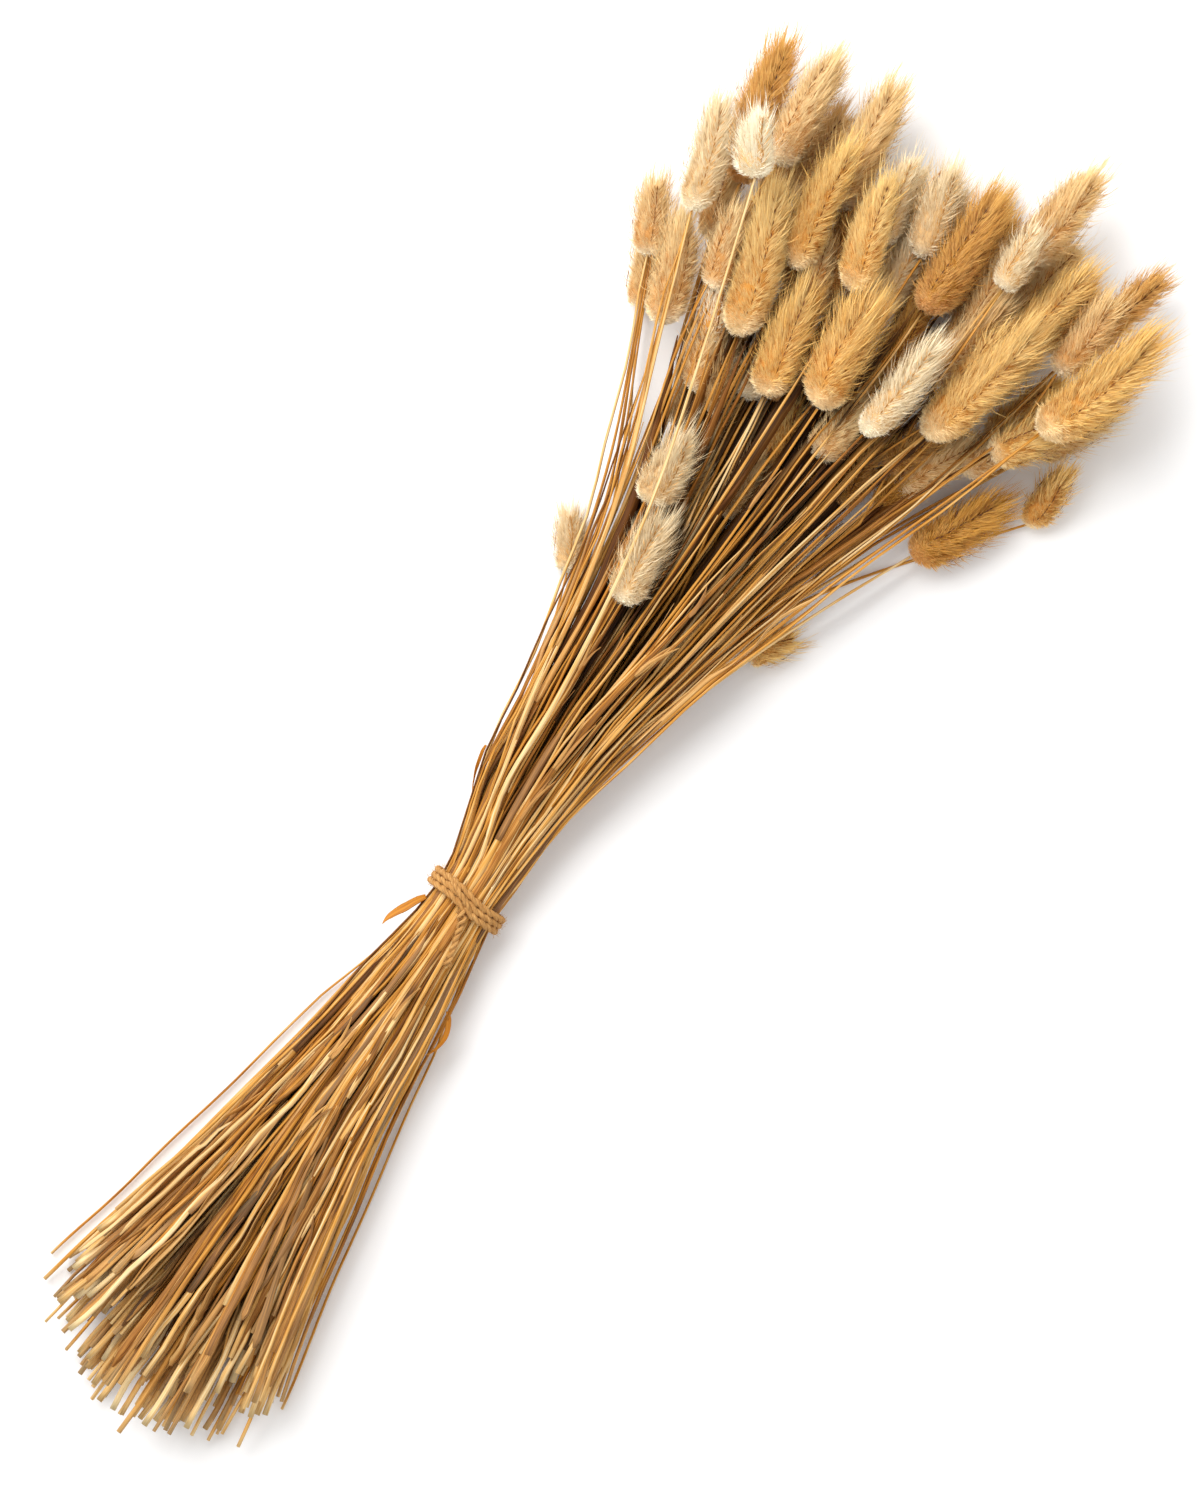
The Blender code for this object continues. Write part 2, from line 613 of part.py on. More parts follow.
def waist_point(turns, out):
    """A point round the waist at a number of turns, at a distance out from the straws."""
    angle = math.tau * turns
    across = (WAIST_HALF_WIDTH + out) * math.cos(angle)
    height = WAIST_HEIGHT + (WAIST_HALF_HEIGHT + out) * math.sin(angle)
    return across, height


def wind_twine():
    """The twine's path: flat turns that step one pitch along in a short slant over the top."""
    points = []
    for step in range(TWINE_TURNS * TWINE_STEPS + 1):
        turns = TWINE_START + step / TWINE_STEPS
        whole, part = divmod(turns - 0.25 + TWINE_SLANT / 2, 1.0)
        slant = min(part / TWINE_SLANT, 1.0)
        across, height = waist_point(turns, CLEARANCE + TWINE_RADIUS)
        along = (whole + slant - TWINE_TURNS / 2) * TWINE_PITCH
        points.append(Vector((across, along, height)))
    return points


def straws_at(stalks, along):
    """Every straw or head that a plane across the bundle cuts: (across, height, radius)."""
    cut = []
    for stalk in stalks:
        places = stalk.knots[:, 1]
        if not places[0] < along < places[-1]:
            continue
        across = float(np.interp(along, places, stalk.knots[:, 0]))
        height = float(np.interp(along, places, stalk.knots[:, 2]))
        radius = float(stalk.straw_radius(along))
        if along > places[-2]:
            radius = stalk.head_radius
        cut.append((across, height, radius * (1 + STRAW_WAVER)))
    return cut


def height_on(stalks, across, along, radius):
    """The height at which a cord of this radius lies on the straws."""
    reach = CLEARANCE + radius
    heights = [height + math.sqrt(max((reach + straw) ** 2 - (across - middle) ** 2, 0.0))
               for middle, height, straw in straws_at(stalks, along)
               if abs(across - middle) < reach + straw]
    return max(heights)


def lay_tail(stalks):
    """The tail's path: from inside the lowest turn, then down over the straws below the tie."""
    places = [place(pixel) for pixel in TAIL_PIXELS]
    alongs = [along for _, along in places]
    acrosses = [across for across, _ in places]
    points = []
    for step in range(TAIL_POINTS):
        along = alongs[0] + (alongs[-1] - alongs[0]) * step / (TAIL_POINTS - 1)
        across = float(np.interp(along, alongs[::-1], acrosses[::-1]))
        points.append(Vector((across, along, height_on(stalks, across, along, TWINE_RADIUS))))
    points[0].z = WAIST_HEIGHT + WAIST_HALF_HEIGHT + CLEARANCE + TWINE_RADIUS
    return points


def sweep(points, radii, sides, turn=0.0):
    """A closed round bar along a path."""
    bm = bmesh.new()
    last = None
    for number, (point, tangent) in enumerate(zip(points, directions(points))):
        at_end = number in (0, len(points) - 1)
        ring = ring_at(bm, point, tangent, radii[number], sides, capped=at_end, turn=turn)
        if last is not None:
            bridge(bm, last, ring)
        last = ring
    bmesh.ops.recalc_face_normals(bm, faces=bm.faces)
    return bm


def build_turns():
    turns = wind_twine()
    return sweep(turns, [TWINE_RADIUS] * len(turns), TWINE_SIDES, turn=math.pi / TWINE_SIDES)


def build_tail(stalks):
    path = lay_tail(stalks)
    radii = [TAIL_TAPER * TWINE_RADIUS] + [TWINE_RADIUS] * (len(path) - 2) + [TAIL_TAPER * TWINE_RADIUS]
    return sweep(path, radii, TWINE_SIDES)


def outer_edge(stalks, along, side):
    """The straw that reaches furthest to one side: (how far, at what height)."""
    return max((side * across + radius, height) for across, height, radius in straws_at(stalks, along))


def build_leaf(stalks, leaf):
    """A dry strip that lies along the outermost straw at its root and curls away from it."""
    bm = bmesh.new()
    bmesh.ops.create_grid(bm, x_segments=1, y_segments=LEAF_SEGMENTS, size=1.0)
    for vertex in bm.verts:
        part = (vertex.co.y + 1) / 2
        along = leaf.root + (leaf.end - leaf.root) * part
        reach, _ = outer_edge(stalks, along, leaf.side)
        _, root_height = outer_edge(stalks, leaf.root, leaf.side)
        half = leaf.width / 2 * math.sqrt(max(1 - (2 * part - 1) ** 4, LEAF_POINT))
        away = reach + LEAF_GAP + half + leaf.bulge * math.sin(math.pi * part) + leaf.away * part ** 1.5
        rise = root_height + leaf.rise * part
        lip = LEAF_LIP * half * abs(vertex.co.x)
        vertex.co = Vector((leaf.side * away + vertex.co.x * half, along, rise + lip))
    return bm


def finish(name, colour, roughness):
    material = bpy.data.materials.new(name)
    material.use_nodes = True
    shader = material.node_tree.nodes["Principled BSDF"]
    shader.inputs["Base Color"].default_value = colour
    shader.inputs["Roughness"].default_value = roughness
    shader.inputs["Metallic"].default_value = 0.0
    return material


def collect(name, bm, materials):
    """A finished piece as an object with its own materials."""
    mesh = bpy.data.meshes.new(name)
    bm.to_mesh(mesh)
    bm.free()
    for material in materials:
        mesh.materials.append(material)
    piece = bpy.data.objects.new(name, mesh)
    bpy.context.scene.collection.objects.link(piece)
    return piece


def join_tail(twine, tail):
    """The tail grows out of the lowest turn."""
    tail.hide_render = True
    tail.display_type = "WIRE"
    union = twine.modifiers.new("tail", "BOOLEAN")
    union.operation = "UNION"
    union.solver = "EXACT"
    union.object = tail


def thicken(leaf):
    solid = leaf.modifiers.new("leaf thickness", "SOLIDIFY")
    solid.thickness = LEAF_THICKNESS
    solid.offset = 0.0


def lie_on_table(pieces):
    """Rests every piece on the table and puts the origin below the middle of the whole."""
    corners = []
    for bm in pieces.values():
        for vertex in bm.verts:
            if vertex.co.z < PRESSED_DEPTH:
                vertex.co.z = 0.0
            corners.append(vertex.co.copy())
    corners = np.array(corners)
    middle = (corners.min(axis=0) + corners.max(axis=0)) / 2
    shift = Vector((-middle[0], -middle[1], 0.0))
    for bm in pieces.values():
        bmesh.ops.translate(bm, verts=bm.verts, vec=shift)
    print(f"The tie stands at {shift.x:.5f}, {shift.y:.5f}")


def main():
    for old in list(bpy.data.objects):
        bpy.data.objects.remove(old)
    draw = random.Random(SEED)
    stalks = [Stalk(f"stalk_{number:02d}", bloom, draw) for number, bloom in enumerate(BLOOMS, 1)]
    first_paths(stalks, draw)
    Pile(stalks).settle()
    pieces = {stalk.name: grow_stalk(stalk, draw) for stalk in stalks}
    pieces["twine_tie"] = build_turns()
    pieces[TAIL_GUIDE] = build_tail(stalks)
    for leaf in LEAVES:
        pieces[leaf.name] = build_leaf(stalks, leaf)
    lie_on_table(pieces)
    for stalk in stalks:
        straw = finish(f"{stalk.name} straw", STRAW_COLOUR, STRAW_ROUGHNESS)
        head = finish(f"{stalk.name} head", TINTS[stalk.tint], MATT)
        collect(stalk.name, pieces[stalk.name], (straw, head))
    jute = finish("jute twine", JUTE_COLOUR, MATT)
    twine = collect("twine_tie", pieces["twine_tie"], (jute,))
    join_tail(twine, collect(TAIL_GUIDE, pieces[TAIL_GUIDE], (jute,)))
    for leaf in LEAVES:
        dry_leaf = finish(f"{leaf.name} dry leaf", LEAF_COLOUR, MATT)
        thicken(collect(leaf.name, pieces[leaf.name], (dry_leaf,)))


main()
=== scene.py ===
# %% [markdown]
# # A bundle of dried bunny tail grass
#
# Fifty-five dried stalks of bunny tail grass lie on a table, tied at the waist with jute twine. The
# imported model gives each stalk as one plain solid: where its cut end is, how it runs through the
# tie, and where its head ends. This script reads that and grows the real thing along it: furry
# heads, ribbed straws with their joints and papery leaf sheaths, and twisted twine.

import copy
import json
import math
from collections import namedtuple

import bmesh
import bpy
import numpy as np
from mathutils import Matrix, Vector
from mathutils.bvhtree import BVHTree


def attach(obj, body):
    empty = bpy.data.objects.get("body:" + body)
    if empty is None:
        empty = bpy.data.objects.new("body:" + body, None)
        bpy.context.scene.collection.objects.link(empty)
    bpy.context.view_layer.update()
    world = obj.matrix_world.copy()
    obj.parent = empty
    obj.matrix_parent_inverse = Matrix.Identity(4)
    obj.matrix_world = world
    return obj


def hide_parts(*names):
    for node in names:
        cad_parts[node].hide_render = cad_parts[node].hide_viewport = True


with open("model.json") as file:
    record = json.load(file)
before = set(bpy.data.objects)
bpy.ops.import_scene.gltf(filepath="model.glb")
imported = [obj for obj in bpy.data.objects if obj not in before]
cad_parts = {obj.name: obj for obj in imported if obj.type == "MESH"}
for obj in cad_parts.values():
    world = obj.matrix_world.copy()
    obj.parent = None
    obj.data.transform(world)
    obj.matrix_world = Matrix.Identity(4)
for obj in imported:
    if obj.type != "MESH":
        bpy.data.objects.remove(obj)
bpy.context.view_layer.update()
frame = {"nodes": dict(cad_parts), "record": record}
stalk_names = sorted(name for name in frame["nodes"] if name.startswith("stalk_"))
print(f"{len(stalk_names)} stalks")

# %% [markdown]
# ## Reading a stalk back from its solid
#
# A node arrives as loose triangles, so a copy is merged first. A stalk's solid is made of rings:
# five-sided ones up the straw and wider ones up the head, ending in a single point. Starting from
# the five lowest vertices and stepping along the edges gives the rings one after another, and the
# middle of each ring is a point of the stalk's path.

# %% Rings of a stalk
MERGE = 1e-5
HEAD_RINGS = 7
HOLLOW_DEPTH = 0.70


def merged_copy(name):
    bm = bmesh.new()
    bm.from_mesh(frame["nodes"][name].data)
    bmesh.ops.remove_doubles(bm, verts=bm.verts, dist=MERGE)
    return bm


def rings_of(bm, first):
    """The vertices in layers, by how many edges they are away from the first ones."""
    layers = [set(first)]
    seen = set(first)
    while layers[-1]:
        step = {edge.other_vert(vertex) for vertex in layers[-1] for edge in vertex.link_edges} - seen
        seen |= step
        layers.append(step)
    return [np.array([vertex.co for vertex in layer]) for layer in layers[:-1]]


class Stalk:
    """One stalk as read from its solid: its straw's path and radii, and its head."""

    def __init__(self, name):
        bm = merged_copy(name)
        rings = rings_of(bm, sorted(bm.verts, key=lambda vertex: vertex.co.y)[:5])
        bm.free()
        straw = rings[: -HEAD_RINGS - 1]
        self.name = name
        parts = frame["record"]["subparts"]
        self.tint = next(part["material_slot"] for part in parts if part["node"] == name)
        self.path = np.array([ring.mean(axis=0) for ring in straw])
        self.radii = np.array([np.linalg.norm(ring - ring.mean(axis=0), axis=1).max() for ring in straw])
        self.set_head(self.path[-1], rings[-1].mean(axis=0))
        self.head_radius = max(self.hollow(ring) for ring in rings[-HEAD_RINGS - 1:-1]) / HOLLOW_DEPTH

    def set_head(self, base, tip):
        self.base = base
        self.tip = tip
        self.length = np.linalg.norm(tip - base)
        self.axis = (tip - base) / self.length

    def hollow(self, ring):
        """How far the hollows between a ring's tufts are from the head's axis."""
        away = ring - self.base
        across = away - np.outer(away @ self.axis, self.axis)
        return np.sort(np.linalg.norm(across, axis=1))[1]

    def at(self, along, axis):
        """Where the straw runs at a distance along the bundle: across it (axis 0), or up (axis 2)."""
        return np.interp(along, self.path[:, 1], self.path[:, axis])

    def radius_at(self, along):
        return np.interp(along, self.path[:, 1], self.radii)


stalks = [Stalk(name) for name in stalk_names]
for stalk in stalks[:3]:
    print(stalk.name, len(stalk.path), "rings, head", round(stalk.length * 1000), "mm long,",
          round(stalk.head_radius * 2000), "mm thick")

# %% [markdown]
# ## A bar laid along a path
#
# Straws, dry leaves and the plies of the twine are all long and thin, so they share one shape: a
# closed bar that the cone operator makes and the subdivide operator cuts into short lengths. It is
# then laid along a smooth path, round for a straw, flat and folded for a leaf.

# %% Paths
UP = np.array((0.0, 0.0, 1.0))
WHOLE_POINTS = 120


def smooth_path(points, count):
    """A smooth curve through the points, as evenly spaced points along it."""
    points = np.asarray(points, float)
    steps = np.linalg.norm(np.diff(points, axis=0), axis=1)
    run = np.concatenate(([0.0], np.cumsum(steps)))
    slopes = np.gradient(points, run, axis=0)
    places = np.linspace(0.0, run[-1], count)
    index = np.clip(np.searchsorted(run, places, side="right") - 1, 0, len(run) - 2)
    gap = steps[index][:, None]
    part = ((places - run[index]) / steps[index])[:, None]
    start, end = points[index], points[index + 1]
    leave, arrive = slopes[index] * gap, slopes[index + 1] * gap
    return (start * (2 * part**3 - 3 * part**2 + 1) + leave * (part**3 - 2 * part**2 + part)
            + end * (3 * part**2 - 2 * part**3) + arrive * (part**3 - part**2))


def frames_along(path, reference):
    """Right-handed side and rise directions at each point of a path."""
    ahead = np.gradient(path, axis=0)
    ahead /= np.linalg.norm(ahead, axis=1)[:, None]
    side = np.cross(np.broadcast_to(reference, ahead.shape), ahead)
    side /= np.linalg.norm(side, axis=1)[:, None]
    return side, np.cross(ahead, side)


def length_of(path):
    return np.linalg.norm(np.diff(path, axis=0), axis=1).sum()


# %% The bar
def make_bar(sides, cuts):
    """A closed bar of radius 1 from z = 0 to z = 1, cut across so many times."""
    bm = bmesh.new()
    bmesh.ops.create_cone(bm, cap_ends=True, segments=sides, radius1=1.0, radius2=1.0, depth=1.0,
                          matrix=Matrix.Translation((0.0, 0.0, 0.5)))
    lengthwise = [edge for edge in bm.edges if abs(edge.verts[0].co.z - edge.verts[1].co.z) > 0.5]
    bmesh.ops.subdivide_edges(bm, edges=lengthwise, cuts=cuts, use_grid_fill=True)
    return bm


def corners(bm):
    return np.array([vertex.co for vertex in bm.verts])


def lay(bar, path, wide, thick, reference=UP, fold=0.0, twist=0.0):
    """Where the bar's vertices go when it is laid along a path."""
    spots = np.linspace(0.0, 1.0, len(path))
    side, rise = frames_along(path, reference)
    x, y, z = bar.T

    def at(values):
        values = np.broadcast_to(values, (len(path),) if np.ndim(values) < 2 else np.shape(values))
        columns = values.reshape(len(path), -1).T
        return np.stack([np.interp(z, spots, column) for column in columns], axis=1)

    angle = at(twist)[:, 0]
    flat = x * at(wide)[:, 0]
    high = y * at(thick)[:, 0] + at(fold)[:, 0] * np.abs(flat)
    across = flat * np.cos(angle) - high * np.sin(angle)
    lifted = flat * np.sin(angle) + high * np.cos(angle)
    return at(path) + at(side) * across[:, None] + at(rise) * lifted[:, None]


# %% [markdown]
# ## One piece from many parts
#
# A stalk grew as one piece, so its straw, leaves and head end up in one object. Each part brings
# its vertices' places, the slot of its material, and four values that the materials read: where the
# vertex is on the straw's surface, which tone of the dry grass it has, and how pale or dark it is.

# %% Collecting parts
VALUES = ("tone", "pale", "dark")
TABLE = 0.0001


def new_object(name, data):
    """Makes an object of a mesh, a lamp or a camera, and puts it in the scene."""
    made = bpy.data.objects.new(name, data)
    bpy.context.scene.collection.objects.link(made)
    return made


class Piece:
    """The growing mesh of one object, with the values that its materials read."""

    def __init__(self, name):
        self.name = name
        self.bm = bmesh.new()
        self.values = {value: [] for value in VALUES}
        self.grain = []

    def add(self, bm, places, slot, grain=None, **values):
        """Adds a part. Its bmesh gives the faces, and places gives where the vertices are."""
        places[:, 2] = np.maximum(places[:, 2], TABLE)
        part = bpy.data.meshes.new("part")
        bm.to_mesh(part)
        bm.free()
        part.vertices.foreach_set("co", places.astype(np.float32).ravel())
        part.polygons.foreach_set("material_index", np.full(len(part.polygons), slot, np.int32))
        part.polygons.foreach_set("use_smooth", np.ones(len(part.polygons), bool))
        self.bm.from_mesh(part)
        bpy.data.meshes.remove(part)
        self.grain.append(places if grain is None else grain)
        for value in VALUES:
            self.values[value].append(np.broadcast_to(values.get(value, 0.0), len(places)))

    def finish(self, materials, node, slot):
        """Makes the object and sets it on the CAD's body in the place of its node."""
        mesh = bpy.data.meshes.new(self.name)
        self.bm.to_mesh(mesh)
        self.bm.free()
        for material in materials:
            mesh.materials.append(material)
        for value, parts in self.values.items():
            layer = mesh.attributes.new(value, "FLOAT", "POINT")
            layer.data.foreach_set("value", np.concatenate(parts).astype(np.float32))
        layer = mesh.attributes.new("grain", "FLOAT_VECTOR", "POINT")
        layer.data.foreach_set("vector", np.concatenate(self.grain).astype(np.float32).ravel())
        made = new_object(self.name, mesh)
        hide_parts(node)
        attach(made, "root")
        return made


# %% [markdown]
# ## The colours and the finish of dry grass
#
# Dry grass has no pigment of one colour: a straw runs from pale straw to ochre and brown in thin
# streaks along its fibres, and the hairs of a head are darker at their roots, where the florets
# are, and palest at their tips. One function mixes the pale and the dark colour into both, by the
# values that the parts bring, so the pattern follows each straw and each hair. Part of the dark is
# painted shade, deep in the bundle, under its top and in the heads' cores, and part of the pale is
# painted light on the cream heads high in the pile.

# %% Nodes and colours
def colour(text):
    """An sRGB hex colour as the linear values that Blender works with."""
    channels = [int(text[start:start + 2], 16) / 255 for start in (0, 2, 4)]
    linear = [c / 12.92 if c <= 0.04045 else ((c + 0.055) / 1.055) ** 2.4 for c in channels]
    return (*linear, 1.0)


def node(material, kind, links=None, stops=(), **settings):
    """Adds a node to a material, with its settings, what is linked or typed into it, and a ramp's stops."""
    made = material.node_tree.nodes.new(kind)
    for name, value in settings.items():
        setattr(made, name, value)
    for socket, value in (links or {}).items():
        if isinstance(value, bpy.types.NodeSocket):
            material.node_tree.links.new(value, made.inputs[socket])
        else:
            made.inputs[socket].default_value = value
    for _ in stops[2:]:
        made.color_ramp.elements.new(0.5)
    for number, (place, text) in enumerate(stops):
        made.color_ramp.elements[number].position = place
        made.color_ramp.elements[number].color = colour(text)
    return made


def new_material(name, finish):
    """A material, and its shader with the values of its finish."""
    material = bpy.data.materials.new(name)
    material.use_nodes = True
    shader = material.node_tree.nodes["Principled BSDF"]
    for socket, value in finish.items():
        shader.inputs[socket].default_value = value
    return material, shader


def mix_by_values(material, shader, fresh, **mixed_colours):
    """Mixes colours into a fresh one by the values that the parts bring, and gives it to the shader."""
    # Part of the dark that straws and leaves bring is painted shade.
    for name, text in mixed_colours.items():
        amount = node(material, "ShaderNodeAttribute", attribute_name=name).outputs["Fac"]
        mix = node(material, "ShaderNodeMix", {0: amount, 6: fresh, 7: colour(text)}, data_type="RGBA")
        fresh = mix.outputs[2]
    material.node_tree.links.new(fresh, shader.inputs["Base Color"])


# %% Straw and leaf
# A streak is a bundle of fibres. Single fibres, a twentieth of a millimetre wide, wouldn't show.
STREAK = 0.00045


def make_dry_grass(name, stops, pale, dark, roughness, bump):
    """Dry grass stem or leaf: thin streaks along the fibres, with a waxy, softly shining skin."""
    material, shader = new_material(name, {"Roughness": roughness, "Specular IOR Level": 0.18})
    grain = node(material, "ShaderNodeAttribute", attribute_name="grain").outputs["Vector"]
    tone = node(material, "ShaderNodeAttribute", attribute_name="tone").outputs["Fac"]
    noise = {"Vector": grain, "Scale": 1.0, "Detail": 3.0, "Roughness": 0.6}
    streaks = node(material, "ShaderNodeTexNoise", noise).outputs["Fac"]
    change = node(material, "ShaderNodeMath", {0: streaks, 1: 1.3, 2: -0.65}, operation="MULTIPLY_ADD")
    streaked = node(material, "ShaderNodeMath", {0: tone, 1: change.outputs[0]}, operation="ADD")
    fibres = node(material, "ShaderNodeValToRGB", {0: streaked.outputs[0]}, stops)
    mix_by_values(material, shader, fibres.outputs["Color"], pale=pale, dark=dark)
    ridges = node(material, "ShaderNodeBump", {"Height": streaks, "Strength": bump, "Distance": 0.0003})
    material.node_tree.links.new(ridges.outputs["Normal"], shader.inputs["Normal"])
    return material


STRAW_STOPS = ((0.0, "4E2C0C"), (0.22, "845018"), (0.42, "B47628"), (0.60, "CE9440"), (0.78, "DAB070"),
               (1.0, "E8D0A0"))
LEAF_STOPS = ((0.0, "3C200A"), (0.25, "744216"), (0.50, "AA6E2C"), (0.75, "D29A50"), (1.0, "ECCA8C"))
SCRAP_STOPS = ((0.0, "6C3600"), (0.35, "A05800"), (0.65, "C07606"), (1.0, "D89A2C"))
# The dark colour of each is partly the grass's own dark joints and old sheaths, and partly painted shade.
straw = make_dry_grass("dried grass straw", STRAW_STOPS, "EBD09A", "2E1605", 0.50, 0.45)
sheath = make_dry_grass("dried leaf sheath", LEAF_STOPS, "E6CC9A", "261205", 0.55, 0.6)
scrap = make_dry_grass("dried leaf scrap", SCRAP_STOPS, "E8BC70", "6B3A10", 0.5, 0.5)

# %% Hair
# Dry plant hair has no shine of its own. What the eye sees is a matt plush, paler at the hairs' tips.
Fur = namedtuple("Fur", "tip body root pale_foot glume_tone")
FUR = {
    "grass_cream": Fur("FFF4D4", "FFE3AE", "B88A4C", 0.95, 0.66),
    "grass_tan": Fur("FFEDB8", "FFD388", "A86620", 0.80, 0.46),
    "grass_gold": Fur("FFE69C", "FFCC64", "A85E14", 0.62, 0.36),
    "grass_amber": Fur("F8C86C", "E29E36", "6E3A06", 0.15, 0.22),
    "grass_grey": Fur("FCE2AC", "EEC076", "845014", 0.55, 0.34),
}
CREAM = "FFF7E0"
PLUSH = {"Roughness": 0.75, "Specular IOR Level": 0.06, "Sheen Weight": 0.04, "Sheen Roughness": 0.5,
         "Sheen Tint": colour("FFF1D6")}


def make_hair(slot, fur):
    """The soft, matt hairs of a head, darker to their roots, with a glow of fuzz at the edges."""
    material, shader = new_material(f"bunny tail hair, {slot.split('_')[1]}", PLUSH)
    mix_by_values(material, shader, colour(fur.body), tone=fur.tip, pale=CREAM, dark=fur.root)
    return material


hair_materials = {slot: make_hair(slot, fur) for slot, fur in FUR.items()}

# %% [markdown]
# ## A furry head
#
# A head is a short spike packed with florets, and each floret carries a brush of long soft hairs
# that sweeps outwards and up. Modelling every hair as a tube would take millions of faces, so a
# short hair is one triangle, wide at its root and fine at its tip, and a long one is a slim kite
# that bows. All the blades of a head come from one strip of a grid that is cut apart at every edge.
# Near the stem the hairs are short and stand out and a little back, which rounds the head's foot,
# and towards the tip they lie along the axis. The florets sit in rows, so the hairs part along four
# seams and are combed towards them, and there the brown papery glumes show as flecks in lines of Vs.

# %% Loose blades
def make_blades(count, edges):
    """So many loose blades with three or four edges: the bmesh, and the corners of each blade."""
    bm = bmesh.new()
    bmesh.ops.create_grid(bm, x_segments=count if edges == 4 else count // 2, y_segments=1, size=1.0)
    if edges == 3:
        bmesh.ops.triangulate(bm, faces=bm.faces)
    bmesh.ops.split_edges(bm, edges=bm.edges)
    bm.verts.index_update()
    return bm, np.array([[vertex.index for vertex in face.verts] for face in bm.faces])


def unit(vectors):
    return vectors / np.maximum(np.linalg.norm(vectors, axis=-1, keepdims=True), 1e-9)


def around(axis):
    side = unit(np.cross(axis, UP))
    return side, np.cross(side, axis)


def turned(turn, first, second):
    """Directions at turns from the first of two square directions to the second."""
    return np.cos(turn)[:, None] * first + np.sin(turn)[:, None] * second


def square_to(headings, outward):
    """The outward directions, made square to the headings."""
    return unit(outward - headings * (outward * headings).sum(axis=1)[:, None])


# %% Florets along the head
GOLDEN_ANGLE = math.radians(137.5)
FLORET_SPACING = 0.0013
FLORET_LOOSE = 0.0006
PLACES = (0.0, 0.03, 0.08, 0.16, 0.35, 0.60, 0.85, 1.0)
CORE = (0.10, 0.34, 0.54, 0.70, 0.70, 0.62, 0.43, 0.14)
HAIR_REACH = (0.12, 0.18, 0.25, 0.35, 0.50, 0.62, 0.78, 0.95)
HAIR_ANGLE = (125, 105, 84, 64, 48, 41, 29, 8)
# How dark the core under the plush is painted, as the shade deep in the fur.
CORE_PAINTED_SHADE = 0.74
FOOT = 0.12
FOOT_LENGTH = 0.20
FOOT_FADE = 0.85
TOP = 0.64
SEAMS = 4
SEAM_WIDTH = 0.13
SEAM_COMB_WIDTH = 0.38
SEAM_DEPTH = 0.60
SEAM_COMB = 0.55


def first_seam(stalk):
    """The turn of a head's seam on top: near the middle as seen from above, but not quite."""
    return math.radians(90) + stalk.seed - 0.5


def spine(stalk, part, ahead=0.0):
    """Points of a head's bent axis, at parts of the way from its foot to its top."""
    radius = stalk.head_radius
    run = FOOT * radius + part * (stalk.length - (FOOT + TOP) * radius) + ahead
    return stalk.base + run[:, None] * stalk.axis + stalk.bend * np.sin(math.pi * part)[:, None] * radius


def foot_at(part):
    """From 1 at the foot of a head to 0 where its foot ends."""
    return np.clip(1 - part / FOOT_LENGTH, 0.0, 1.0)


class Florets:
    """Where the florets of a head sit, which way they face and how long their hairs are."""

    def __init__(self, stalk, rng):
        radius = stalk.head_radius
        count = int(math.tau * 0.6 * radius * (stalk.length - radius) / FLORET_SPACING**2)
        part = ((np.arange(count) + rng.uniform(0.1, 0.9, count)) / count) ** 1.2
        turn = np.arange(count) * GOLDEN_ANGLE + rng.normal(0, 0.25, count)
        gap = math.tau / SEAMS
        off_seam = (turn - first_seam(stalk) + gap / 2) % gap - gap / 2
        self.combed = -SEAM_COMB * np.sign(off_seam) * np.exp(-(off_seam / SEAM_COMB_WIDTH) ** 2)
        self.count = count
        self.part = part
        self.foot = foot_at(part)
        self.outward = turned(turn, *around(stalk.axis))
        self.aside = np.cross(stalk.axis, self.outward)
        self.root = spine(stalk, part) + (np.interp(part, PLACES, CORE) * radius)[:, None] * self.outward
        lumps = 1 + 0.08 * np.sin(part * 9 + stalk.seed * 40) * np.cos(turn + stalk.seed * 9)
        valley = 1 - SEAM_DEPTH * np.exp(-(off_seam / SEAM_WIDTH) ** 2) * (1 - self.foot)
        reach = np.interp(part, PLACES, HAIR_REACH) * radius * lumps * valley
        self.reach = reach * rng.uniform(0.94, 1.06, count)
        self.angle = np.radians(np.interp(part, PLACES, HAIR_ANGLE)) + rng.normal(0, 0.06, count)
        self.tone = rng.normal(0, 0.07, count)


# %% Hairs out of the florets
SIDEWAYS = 0.13
TILT = 0.38
Hairs = namedtuple("Hairs", "count root heading reach bow tone foot pale_foot", defaults=(0.0, 0.0))


def hairs_from(stalk, florets, picks, spread, rng):
    """Hairs out of the picked florets: roots, headings, lengths, and the way each one bows."""
    count = len(picks)
    outward = florets.outward[picks]
    aside = florets.aside[picks]
    foot = florets.foot[picks]
    angle = (florets.angle[picks] + rng.normal(0, spread, count))[:, None]
    sideways = rng.normal(0, SIDEWAYS, count) + florets.combed[picks]
    around_axis = FLORET_LOOSE * (1 + 0.7 * foot) * rng.normal(0, 1, count)
    along_axis = FLORET_LOOSE * (1 - 0.45 * foot) * rng.normal(0, 1, count)
    root = florets.root[picks] + aside * around_axis[:, None] + stalk.axis * along_axis[:, None]
    heading = np.cos(angle) * stalk.axis + np.sin(angle) * turned(sideways, outward, aside)
    tone = rng.normal(0.42, 0.15, count) + florets.tone[picks] + 0.25 * (florets.part[picks] - 0.4)
    return Hairs(count, root, heading, florets.reach[picks], square_to(heading, outward),
                 tone + stalk.shade, foot, FUR[stalk.tint].pale_foot * foot)


def across_of(hairs, wide, rng):
    """Half a hair's width, as a vector that turns the flat of the blade outwards."""
    tilt = rng.normal(0, TILT, hairs.count)[:, None]
    facing = unit(hairs.bow + np.cross(hairs.heading, hairs.bow) * tilt)
    return np.cross(hairs.heading, facing) * (wide / 2)[:, None]


